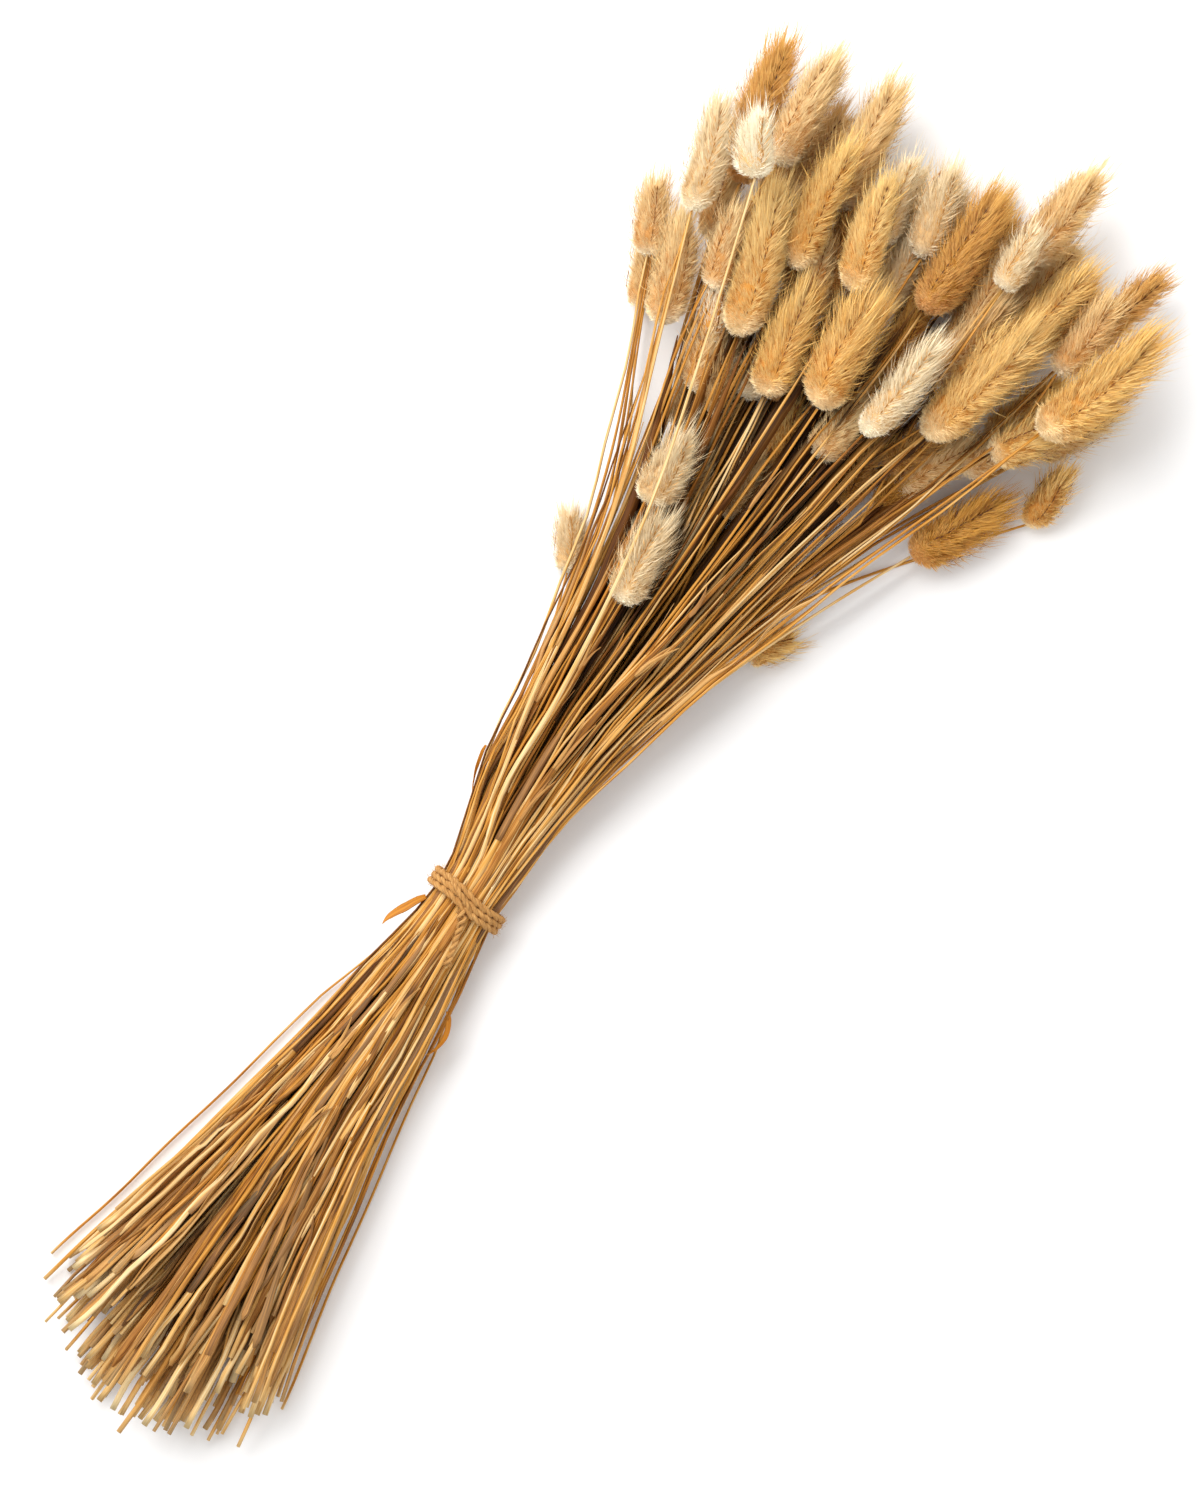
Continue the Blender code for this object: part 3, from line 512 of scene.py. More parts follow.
def add_hairs(piece, hairs, spots, looks, bleach, slot):
    """Adds hairs as blades: for each corner its place, and how much lighter, darker and paler it is."""
    bm, faces = make_blades(hairs.count, len(spots))
    places = np.empty((faces.size, 3))
    values = {value: np.empty(faces.size) for value in VALUES}
    for corner, spot, (lift, dark, pale) in zip(faces.T, spots, looks):
        places[corner] = spot
        values["tone"][corner] = np.clip(hairs.tone + lift, 0.0, 1.0)
        # A head's paleness is partly painted light, and it also takes away the dark at the roots.
        values["dark"][corner] = dark * (1 - FOOT_FADE * hairs.foot) * (1 - bleach)
        values["pale"][corner] = np.clip(hairs.pale_foot + bleach + pale, 0.0, 1.0)
    piece.add(bm, places, slot=slot, **values)


def add_kites(piece, hairs, across, bow_by, looks, bleach, slot, widest=0.5):
    """Adds hairs as slim kites, which bow out where they are widest."""
    middle = hairs.root + hairs.heading * (hairs.reach * widest)[:, None] + hairs.bow * bow_by[:, None]
    tip = hairs.root + hairs.heading * hairs.reach[:, None]
    add_hairs(piece, hairs, (middle + across, tip, middle - across, hairs.root), looks, bleach, slot)


# %% Plush, fringe and flecks
# A real hair is a twentieth of a millimetre thick. It is drawn four times as thick, so that it shows.
HAIR_DENSITY = 24e6
HAIR_WIDTH = (0.00017, 0.00030)
HAIR_LENGTHS = (0.66, 1.08)
HAIR_SPREAD = 0.09
FRINGE_DENSITY = 2.1e6
FRINGE_WIDTH = (0.00019, 0.00031)
FRINGE_LENGTHS = (1.15, 2.3)
FRINGE_SPREAD = 0.18
FRINGE_MIDDLE = 0.45
FRINGE_BOW = 0.10
FLECKS = 11
FLECK_SPLAY = 0.55
RIB_HEIGHT = 0.66
FLECK_HEIGHT = 0.96


def add_plush(piece, stalk, florets, rng, slot):
    """The short dense hairs: triangles, wide at the root and fine at the tip."""
    count = int(stalk.density * HAIR_DENSITY * stalk.head_radius * stalk.length) // 2 * 2
    hairs = hairs_from(stalk, florets, rng.integers(0, florets.count, count), HAIR_SPREAD, rng)
    across = across_of(hairs, rng.uniform(*HAIR_WIDTH, count), rng)
    tip = hairs.root + hairs.heading * (hairs.reach * rng.uniform(*HAIR_LENGTHS, count))[:, None]
    at_root = (-0.15, 0.27, 0.0)
    looks = (at_root, (0.36, 0.0, 0.07), at_root)
    add_hairs(piece, hairs, (hairs.root + across, tip, hairs.root - across), looks, stalk.bleach, slot)
    return count


def add_fringe(piece, stalk, florets, rng, slot):
    """The longer, finer awns that stand out of the plush, more of them towards the tip."""
    count = int(stalk.density * FRINGE_DENSITY * stalk.head_radius * stalk.length * stalk.awns)
    weight = 0.12 + florets.part ** 1.5
    picks = rng.choice(florets.count, count, p=weight / weight.sum())
    hairs = hairs_from(stalk, florets, picks, FRINGE_SPREAD, rng)
    across = across_of(hairs, rng.uniform(*FRINGE_WIDTH, count), rng)
    hairs = hairs._replace(reach=hairs.reach * rng.uniform(*FRINGE_LENGTHS, count) * (1 - 0.5 * hairs.foot))
    bow_by = hairs.reach * FRINGE_BOW * rng.uniform(0.2, 1.6, count)
    in_middle = (0.0, 0.28, 0.0)
    looks = (in_middle, (0.0, 0.26, 0.0), in_middle, (-0.2, 0.5, 0.0))
    add_kites(piece, hairs, across, bow_by, looks, stalk.bleach, slot, FRINGE_MIDDLE)
    return count


def add_flecks(piece, stalk, rng):
    """The tips of the brown glumes: dashed ribs along the head, with a pair of fine flecks at each dash."""
    dashes = SEAMS * FLECKS
    count = dashes * 3
    side = np.tile((-1.0, 0.0, 1.0), dashes)
    rib = side == 0
    part = np.tile(np.repeat(np.linspace(0.08, 0.90, FLECKS), 3), SEAMS)
    part = part + np.repeat(rng.normal(0, 0.008, dashes), 3)
    turn = first_seam(stalk) + np.repeat(np.arange(SEAMS), FLECKS * 3) * math.tau / SEAMS - side * 0.07
    turn = turn + np.repeat(rng.normal(0, 0.02, dashes), 3)
    outward = turned(turn, *around(stalk.axis))
    slope = np.radians(np.interp(part, PLACES, HAIR_ANGLE))
    height = np.where(rib, RIB_HEIGHT, FLECK_HEIGHT)
    surface = np.interp(part, PLACES, CORE) + height * np.interp(part, PLACES, HAIR_REACH) * np.sin(slope)
    root = spine(stalk, part, 0.3 * stalk.head_radius) + (surface * stalk.head_radius)[:, None] * outward
    heading = unit(stalk.axis * math.cos(FLECK_SPLAY)
                   + np.cross(stalk.axis, outward) * (side * math.sin(FLECK_SPLAY))[:, None]
                   + outward * (np.abs(side) * rng.uniform(0.0, 0.35, count))[:, None])
    reach = np.where(rib, rng.uniform(0.0020, 0.0034, count), rng.uniform(0.0022, 0.0044, count))
    wide = np.where(rib, rng.uniform(0.00045, 0.00065, count), rng.uniform(0.00022, 0.00036, count))
    tone = FUR[stalk.tint].glume_tone + np.where(rib, 0.0, 0.16) + rng.normal(0, 0.05, count)
    flecks = Hairs(count, root, heading, reach, square_to(heading, outward), tone)
    deep = (0.0, np.where(rib, 0.30, 0.0), 0.0)
    looks = (deep, (0.12, 0.0, 0.0), deep, deep)
    across = across_of(flecks, wide, rng)
    add_kites(piece, flecks, across, np.zeros(count), looks, bleach=0.0, slot=1)


# %% Growing a head
CORE_SIDES = 12


def grow_head(piece, stalk, rng, slot=2):
    """A head: a core inside, plush all over it, a fringe of awns and the brown flecks."""
    florets = Florets(stalk, rng)
    count = add_plush(piece, stalk, florets, rng, slot) + add_fringe(piece, stalk, florets, rng, slot)
    add_flecks(piece, stalk, rng)
    core = make_bar(CORE_SIDES, CORE_SIDES - 1)
    x, y, part = corners(core).T
    first, second = around(stalk.axis)
    size = np.interp(part, PLACES, CORE) * stalk.head_radius * 1.04
    places = spine(stalk, part) + (x * size)[:, None] * first + (y * size)[:, None] * second
    foot = foot_at(part)
    # The core under the plush is painted dark as shade, less so at the foot.
    piece.add(core, places, slot=slot, tone=0.3, pale=FUR[stalk.tint].pale_foot * foot,
              dark=CORE_PAINTED_SHADE * (1 - FOOT_FADE * foot))
    return count


# %% [markdown]
# ## Straws and dry leaves
#
# A straw is hollow and faintly ribbed, with a swollen joint wherever a leaf grew. The leaf's sheath
# wraps the straw above the joint, splits, and its blade comes away as a narrow folded ribbon that
# has broken off or curled. Low down the sheaths make the straws thicker and browner. Each plant
# also had side shoots, thin straws that never flowered, and they fill the bundle.

# %% How deep inside, and how far below the top: where shade is painted
GRID = 0.001
GRID_CORNER = np.array((-0.12, -0.31))
GRID_SHAPE = (240, 640)


class Bundle:
    """The bundle's cross-section all along it, from the stalks' paths, and its top seen from above."""

    def __init__(self, stalks):
        self.along = np.linspace(-0.27, 0.25, 80)
        cuts = [[(stalk.at(along, 0), stalk.at(along, 2)) for stalk in stalks
                 if stalk.path[0, 1] - 0.03 < along < stalk.base[1] + 0.03] for along in self.along]
        self.low = np.array([np.percentile(cut, 4, axis=0) for cut in cuts])
        self.high = np.array([np.percentile(cut, 96, axis=0) for cut in cuts])
        # The top seen from above sets where shade is painted below it; the loose straws also lie on it.
        self.tops = np.zeros(GRID_SHAPE)
        for stalk in stalks:
            self.cover(smooth_path(stalk.path, 600), 0.002)
            # The heads count as the top too, so the straws under them get painted shadow.
            axis = np.linspace(stalk.base, stalk.tip, 60)
            self.cover(axis + UP * stalk.head_radius * 0.5, stalk.head_radius)

    def cells(self, places):
        """The cells of the grid on the table that places lie over."""
        cells = ((places[:, :2] - GRID_CORNER) / GRID).astype(int)
        return np.clip(cells, 0, np.array(GRID_SHAPE) - 1).T

    def cover(self, path, reach):
        """Raises the top of the bundle in the cells that a path passes over."""
        for aside in np.arange(-reach, reach + GRID, GRID):
            across, along = self.cells(path + (aside, 0, 0))
            np.maximum.at(self.tops, (across, along), path[:, 2])

    def top(self, places):
        """How high the bundle's top is where the places are."""
        return self.tops[tuple(self.cells(places))]

    def span(self, along, column):
        """From where to where the bundle reaches, across it (column 0) or up (column 1)."""
        return [np.interp(along, self.along, edge[:, column]) for edge in (self.low, self.high)]

    def depth(self, places):
        """From 0 at the outside of the bundle to 1 in its middle."""
        reach = 0
        for column, axis in enumerate((0, 2)):
            low, high = self.span(places[:, 1], column)
            reach = reach + ((2 * places[:, axis] - low - high) / (high - low)) ** 2
        return np.clip(1 - np.sqrt(reach), 0.0, 1.0)

    def keep_inside(self, path, slack):
        """Keeps a path from standing out of the bundle by more than the slack."""
        for column, axis in enumerate((0, 2)):
            low, high = self.span(path[:, 1], column)
            path[:, axis] = np.clip(path[:, axis], low - slack, high + slack)
        return path


bundle = Bundle(stalks)
# Painted shade: the dry grass is painted darker deep inside the bundle and below its top, where shade
# falls.
PAINTED_SHADE_MOST = 0.88
PAINTED_SHADE_DEPTHS = (0.02, 0.26)
PAINTED_SHADE_BELOW = (0.0003, 0.0050)
CUT_Y = min(stalk.path[0, 1] for stalk in stalks)
PALER_ENDS = 0.065


def painted_shade_at(places):
    """Painted shade on the dry grass: more inside the bundle and below its top, less near the cut ends."""
    inside = np.interp(bundle.depth(places), PAINTED_SHADE_DEPTHS, (0.0, 1.0))
    below = np.interp(bundle.top(places) - places[:, 2], PAINTED_SHADE_BELOW, (0.0, 1.0))
    ends = np.interp(places[:, 1] - CUT_Y, (0.008, PALER_ENDS), (0.0, 1.0))
    return PAINTED_SHADE_MOST * np.minimum(inside, below) * ends


# %% Growing a straw
TIE = np.array((-0.00220, -0.05911, 0.01375))
WAIST = (0.0122, 0.0104)
WAIST_LENGTH = 0.006
OPENING = 0.30


def hold_in(path, radius):
    """Keeps a path inside the bundle's waist and above the table."""
    away = np.maximum(np.abs(path[:, 1] - TIE[1]) - WAIST_LENGTH, 0.0) * OPENING
    across = (path[:, 0] - TIE[0]) / (WAIST[0] - radius + away)
    height = (path[:, 2] - TIE[2]) / (WAIST[1] - radius + away)
    reach = np.maximum(np.hypot(across, height), 1.0)
    path[:, 0] = TIE[0] + (path[:, 0] - TIE[0]) / reach
    path[:, 2] = np.maximum(TIE[2] + (path[:, 2] - TIE[2]) / reach, radius)
    return path


def grain_of(bar, length, radius, seed):
    """Pattern space of a straw: round it across, long along it, and apart from other straws."""
    x, y, z = bar.T
    return np.stack((x * radius / STREAK + seed * 37.0, y * radius / STREAK + seed * 11.0,
                     z * length / (STREAK * 40)), axis=1)


def waver(along, slowest, fastest, rng):
    """A wave along a straw, from -1 to 1, which is different for each."""
    return np.sin(along * rng.uniform(slowest, fastest) + rng.uniform(0, 6))


STRAW_SIDES = 7
STRAW_CUTS = 64
JOINT_LENGTH = 0.0012
JOINT_SWELLING = 0.22


def grow_straw(piece, stalk, rng):
    path = stalk.whole.copy()
    free = np.clip((TIE[1] - 0.02 - path[:, 1]) / 0.05, 0.0, 1.0)
    path[:, 0] += 0.0006 * free * waver(path[:, 1], 120, 260, rng)
    radii = stalk.radius_at(path[:, 1])
    run = np.linspace(0.0, 1.0, len(path))
    length = length_of(path)
    bm = make_bar(STRAW_SIDES, STRAW_CUTS)
    end = max(bm.faces, key=lambda face: len(face.verts) * 10 - face.calc_center_median().z)
    bmesh.ops.inset_individual(bm, faces=[end], thickness=0.35)
    rim = set(end.verts)
    bar = corners(bm)
    hollow = np.array([vertex in rim for vertex in bm.verts])
    bar[hollow, 2] += 0.006
    wide = radii * (1 + 0.06 * np.sin(run * 90 + stalk.seed * 7)) * np.interp(run, (0.4, 0.9), (1.0, 0.84))
    places = lay(bar, path, wide, wide, twist=run * rng.uniform(-3, 3))
    middle = lay(bar * (0, 0, 1), path, wide, wide)
    dark = np.zeros(len(bar))
    for joint in rng.uniform(0.08, 0.62, 2):
        near = np.exp(-((bar[:, 2] - joint) * length / JOINT_LENGTH) ** 2)
        dark = np.maximum(dark, 0.75 * near)
        places = middle + (places - middle) * (1 + JOINT_SWELLING * near[:, None])
    # Painted shade deep in the bundle and below its top, and painted dark shade inside the hollow cut end.
    dark = np.maximum(dark, painted_shade_at(places))
    dark[hollow] = 0.9
    piece.add(bm, places, slot=0, grain=grain_of(bar, length, radii.mean(), stalk.seed),
              tone=stalk.straw_tone + np.interp(bar[:, 2], (0.0, 0.15), (0.16, 0.0)),
              pale=np.interp(bar[:, 2], (0.0, 0.02, 0.14, 1.0), (0.40, 0.18, 0.04, 0.0)), dark=dark)


# %% Side shoots
SHOOT_POINTS = 32
SHOOT_SIDES = 5
CROWD = 8


def part_of_path(path, start, end, count):
    """A stretch of a stalk's path, or a little before it, and how far along it each point is."""
    along = np.linspace(start, end, count)
    path = path[np.argsort(path[:, 1])]
    part = np.stack([np.interp(along, path[:, 1], path[:, axis]) for axis in range(3)], axis=1)
    part[:, 1] = along
    slope = (path[4] - path[0]) / (path[4, 1] - path[0, 1])
    early = np.minimum(along - path[0, 1], 0.0)[:, None]
    return part + early * slope * (1, 0, 1), np.linspace(0, 1, count)


def beside(path, turn, distance, reference=UP):
    """A path that runs beside another one, turning round it as it goes."""
    return path + turned(turn, *frames_along(path, reference)) * np.asarray(distance)[..., None]


def crowd_at(along, path):
    """How many straws run within a centimetre of a path, at a distance along the bundle."""
    across = np.interp(along, path[:, 1], path[:, 0])
    return sum(abs(stalk.at(along, 0) - across) < 0.010
               for stalk in stalks if stalk.path[0, 1] < along < stalk.base[1])


def add_stem(piece, path, sides, size, radius, seed, tone, pale, brown=1.0, length=None):
    """A thin bare straw along a path. Its paleness is given as places along it and values there."""
    bm = make_bar(sides, len(path) - 2)
    bar = corners(bm)
    places = lay(bar, path, size, size)
    length = length or np.linalg.norm(path[-1] - path[0])
    # The dark of a bare straw is only painted shade, scaled by the amount passed as brown.
    piece.add(bm, places, slot=0, grain=grain_of(bar, length, radius, seed), tone=tone,
              pale=np.interp(bar[:, 2], *pale), dark=brown * painted_shade_at(places))


def grow_shoot(piece, stalk, to_head, rng):
    """A side shoot: a thin bare straw beside the stalk, up to its head or ending among the others."""
    whole = stalk.whole
    start = whole[0, 1] + rng.uniform(-0.006, 0.034)
    end = stalk.base[1] + (0.0008 if to_head else -rng.uniform(0.01, 0.06))
    while not to_head and end > TIE[1] + 0.03 and crowd_at(end, whole) < CROWD:
        end -= 0.006
    path, spot = part_of_path(whole, start, end, SHOOT_POINTS)
    radius = rng.uniform(0.00042, 0.00072)
    turn = rng.uniform(0, math.tau) + np.linspace(0, rng.uniform(-1.6, 1.6), SHOOT_POINTS)
    away = np.interp(path[:, 1] - TIE[1], (-0.21, 0.0, 0.08, 0.20), (0.0042, 0.0022, 0.0026, 0.0036))
    if to_head:
        away = away * np.interp(path[:, 1], (end - 0.07, end), (1.0, 0.12))
    wave = 0.0007 * waver(path[:, 1], 70, 130, rng)
    path = hold_in(beside(path, turn, away * rng.uniform(0.7, 1.2) + wave), radius * 1.2)
    if not to_head:
        path = bundle.keep_inside(path, 0.0)
    ends = (1.35, 0.95, 0.75, 0.60) if to_head else (1.35, 0.95, 0.70, 0.30)
    size = radius * np.interp(spot, (0.0, 0.5, 0.9, 1.0), ends)
    add_stem(piece, path, SHOOT_SIDES, size, radius, rng.random(), rng.uniform(0.10, 0.80),
             ((0.0, 0.03, 0.14, 1.0), (0.35, 0.12, 0.0, 0.0)))


# %% Leaves, straps and blades painted dark as shade
CUT_MARGIN = 0.012
THIN = 0.00022


def add_ribbon(piece, path, wide, thick, twist, looks, rng, fold=0.0, slot=1, sides=6):
    """A flat dry ribbon along a path, with its streaks along it."""
    bm = make_bar(sides, len(path) - 2)
    bar = corners(bm)
    places = lay(bar, path, wide, thick, fold=fold, twist=twist)
    tone, pale, dark = looks
    length = np.linalg.norm(path[-1] - path[0])
    # A ribbon is at least as dark as the painted shade where it lies.
    piece.add(bm, places, slot=slot, grain=grain_of(bar, length, 0.0016, rng.random()),
              tone=tone, pale=pale, dark=np.maximum(dark, painted_shade_at(places)))


def grow_leaf(piece, stalk, start, rng):
    """A dry leaf: its sheath wraps the straw from the joint, and its blade comes away above it."""
    start = max(start, stalk.whole[0, 1] + CUT_MARGIN)
    sheath_length = rng.uniform(0.030, 0.070)
    blade_length = rng.uniform(0.015, 0.075)
    end = min(start + sheath_length + blade_length, stalk.base[1] - CUT_MARGIN)
    if end < start + 0.02:
        return
    path, spot = part_of_path(stalk.whole, start, end, 25)
    split = sheath_length / (sheath_length + blade_length)
    free = np.clip((spot - split) / (1 - split), 0.0, 1.0)
    radii = stalk.radius_at(path[:, 1])
    turn = rng.uniform(0, math.tau) + spot * rng.uniform(-0.8, 0.8)
    distance = radii * 0.35 * (1 - free) + free**1.4 * rng.uniform(0.0015, 0.0055)
    wide = radii * 1.28 * (1 - free) + free * rng.uniform(0.0009, 0.0017)
    wide = wide * np.interp(spot, (0.0, 0.02, 0.85, 1.0), (0.75, 1.0, 0.75, 0.10))
    opening = (0.0, split, min(split + 0.12, 0.99), 1.0)
    thick = np.interp(spot, opening, (1.0, 1.0, 0.10, 0.08)) * radii * 1.18
    path = bundle.keep_inside(hold_in(beside(path, turn, distance), 0.0012), 0.001)
    add_ribbon(piece, path, wide, thick, turn + free * rng.uniform(-2.0, 2.0),
               (rng.uniform(0.15, 0.90), 0.25 * rng.random(), 0.0), rng, fold=0.5 * free)


def grow_strap(piece, stalk, rng):
    """A broad old sheath below the tie: it has slid off its straw and lies as a ribbed, wavering strap."""
    start = stalk.whole[0, 1] + CUT_MARGIN + 0.03 * rng.random()
    end = min(start + rng.uniform(0.06, 0.17), TIE[1] - 0.012)
    path, spot = part_of_path(stalk.whole, start, end, 26)
    turn = rng.uniform(0, math.tau) + spot * rng.uniform(-1.0, 1.0)
    waves = 0.0010 * waver(spot, 6, 14, rng) + 0.0005 * waver(spot, 18, 34, rng)
    path = beside(path, turn, rng.uniform(0.0010, 0.0026) + waves)
    path[:, 0] += rng.normal(0, 0.0080) * (1 - spot)
    path = bundle.keep_inside(hold_in(path, 0.0014), 0.0016)
    wide = rng.uniform(0.0009, 0.0020) * np.interp(spot, (0.0, 0.04, 0.7, 1.0), (0.35, 1.0, 0.85, 0.12))
    wide = wide * (1 + 0.22 * waver(spot, 12, 30, rng))
    thick = rng.uniform(0.00022, 0.00042)
    add_ribbon(piece, path, wide, thick, turn - math.pi / 2 + spot * rng.uniform(-1.0, 1.0),
               (rng.uniform(0.10, 0.90), 0.25 * rng.random(), 0.35 * rng.random()), rng,
               fold=-rng.uniform(0.1, 0.6), slot=int(rng.random() < 0.7))


def grow_torn_sheath(piece, stalk, along, rng):
    """A sheath that has torn open on top of the bundle: two short curled strips that stand off it."""
    length = rng.uniform(0.012, 0.022)
    for _ in range(2):
        path, spot = part_of_path(stalk.whole, along - 0.4 * length, along + 0.6 * length, 16)
        turn = math.radians(90) + rng.uniform(-0.7, 0.7) + spot * rng.uniform(-0.5, 0.5)
        path = beside(path, turn, 0.0011 + spot**2 * rng.uniform(0.0015, 0.0035))
        path[:, 0] += spot**2 * rng.uniform(-0.003, 0.003)
        wide = rng.uniform(0.0006, 0.0011) * np.interp(spot, (0.0, 0.2, 0.7, 1.0), (0.5, 1.0, 0.7, 0.08))
        add_ribbon(piece, path, wide, 0.00018, spot * rng.uniform(-1.5, 1.5),
                   (rng.uniform(0.40, 0.75), 0.1, 0.0), rng, fold=0.4)


def top_below_tie(stalk):
    """Whether a stalk lies in the upper half of the bundle below the tie."""
    where = TIE[1] - 0.10
    return stalk.at(where, 2) > np.median([other.at(where, 2) for other in stalks])


def grow_shade_blade(piece, stalk, rng):
    """A leaf blade low in the fan, painted dark: a sheet that shows as the shade between the straws."""
    start = TIE[1] + rng.uniform(0.004, 0.06)
    end = min(stalk.base[1] + 0.012, start + rng.uniform(0.13, 0.24))
    if end < start + 0.04:
        return
    path, spot = part_of_path(smooth_path(np.vstack((stalk.path, stalk.tip)), WHOLE_POINTS), start, end, 22)
    open_by = np.clip((path[:, 1] - TIE[1]) / 0.12, 0.0, 1.0)
    middle = sum(bundle.span(path[:, 1], 0)) / 2
    path[:, 0] += (middle - path[:, 0]) * rng.uniform(0.05, 0.40) * open_by
    path[:, 2] *= 1 - rng.uniform(0.10, 0.60) * open_by
    path = bundle.keep_inside(hold_in(path, 0.0010), -0.002 - 0.007 * open_by)
    wide = rng.uniform(0.0014, 0.0030) * np.interp(spot, (0.0, 0.15, 0.8, 1.0), (0.4, 1.0, 0.9, 0.1))
    # The blade's own darkness and the bundle's painted shade stand in for the shade between the straws.
    add_ribbon(piece, path, wide, THIN, spot * rng.uniform(-1.2, 1.2) + rng.normal(0, 0.4),
               (rng.uniform(0.20, 0.65), 0.0, rng.uniform(0.1, 0.5)), rng, fold=0.3, sides=4)


# %% [markdown]
# ## Loose straws
#
# Along both edges and over the cut ends, single thin straws run a little apart from the rest. Each
# is held by the twine like the others and belongs to the stalk beside it. It starts on top of the
# waist and follows the top of the bundle down to its own cut end, which the photograph gives.

# %% Loose straws
PIXEL = 0.00035
TIE_PIXEL = (466, 900)
LEAN = math.radians(34.4)
LooseStraw = namedtuple("LooseStraw", "end radius tone bow", defaults=(0.10,))
LOOSE_STRAWS = [LooseStraw(*row) for row in (
    ((46, 1259), 0.00052, 0.48, 0.03), ((38, 1283), 0.00075, 0.60), ((40, 1325), 0.00055, 0.66),
    ((54, 1323), 0.00060, 0.50), ((62, 1320), 0.00050, 0.72), ((61, 1353), 0.00065, 0.46),
    ((86, 1384), 0.00070, 0.70), ((98, 1372), 0.00060, 0.40), ((118, 1414), 0.00080, 0.68),
    ((134, 1408), 0.00060, 0.52), ((161, 1431), 0.00075, 0.62), ((189, 1441), 0.00070, 0.74),
    ((205, 1447), 0.00065, 0.56), ((213, 1440), 0.00055, 0.44), ((235, 1451), 0.00070, 0.64),
    ((261, 1382), 0.00060, 0.48), ((267, 1409), 0.00050, 0.60, 0.06), ((278, 1416), 0.00055, 0.56, 0.04),
    ((300, 1345), 0.00050, 0.50),
)]
LOOSE_HALF_SPREAD = 0.047


def place_on(pixel, height):
    """Where a pixel of the photograph lies on the bundle, at a height over the table."""
    right = pixel[0] - TIE_PIXEL[0]
    up = TIE_PIXEL[1] - pixel[1]
    across = (right * math.cos(LEAN) - up * math.sin(LEAN)) * PIXEL
    along = (right * math.sin(LEAN) + up * math.cos(LEAN)) * PIXEL
    return np.array((TIE[0] + across, TIE[1] + along, height))


def loose_path(loose_straw, count):
    """From the top of the waist over the top of the bundle to the straw's own cut end."""
    end = place_on(loose_straw.end, 0.0)
    share = np.clip((end[0] - TIE[0]) / LOOSE_HALF_SPREAD, -0.96, 0.96)
    start = np.array((TIE[0] + share * (WAIST[0] - 0.001), TIE[1] + 0.012, 0.0))
    spot = np.linspace(0.0, 1.0, count)[:, None]
    path = end + (start - end) * spot
    path[:, 0] -= (end[0] - start[0]) * loose_straw.bow * np.sin(math.pi * spot[:, 0])
    top = np.maximum(bundle.top(path) - 0.001 * abs(share), 0.0020)
    smooth = np.convolve(np.pad(top, 6, mode="edge"), np.full(13, 1 / 13), mode="valid")
    path[:, 2] = np.maximum(smooth, 0.0016)
    return hold_in(path, loose_straw.radius * 1.5)


def grow_loose_straw(piece, loose_straw, rng):
    path = loose_path(loose_straw, 44)
    spot = np.linspace(0.0, 1.0, len(path))
    path[:, 0] += 0.0004 * waver(spot, 14, 26, rng) * (1 - spot)
    size = loose_straw.radius * np.interp(spot, (0.0, 0.6, 1.0), (1.1, 0.95, 0.7))
    # A loose straw gets six tenths of the painted shade.
    add_stem(piece, path, 6, size, loose_straw.radius, rng.random(), loose_straw.tone,
             ((0.0, 0.03, 1.0), (0.45, 0.0, 0.0)), brown=0.6)


def held_beside(loose_straw):
    """The stalk that a loose straw lies beside at the waist."""
    across = loose_path(loose_straw, 40)[-1, 0]
    top = [stalk for stalk in stalks if stalk.at(TIE[1], 2) > TIE[2]]
    return min(top, key=lambda stalk: abs(stalk.at(TIE[1], 0) - across))


loose_by_stalk = {}
for loose_straw in LOOSE_STRAWS:
    loose_by_stalk.setdefault(held_beside(loose_straw).name, []).append(loose_straw)
print(len(LOOSE_STRAWS), "loose straws")

# %% [markdown]
# ## Heads low in the bundle
#
# Between the big heads the photograph shows parts of others that lie lower. They sit on side shoots,
# which leave the stalk above the tie. Each is a smaller copy of the same growth, so it uses the same
# functions, and it belongs to the stalk that runs nearest to it.

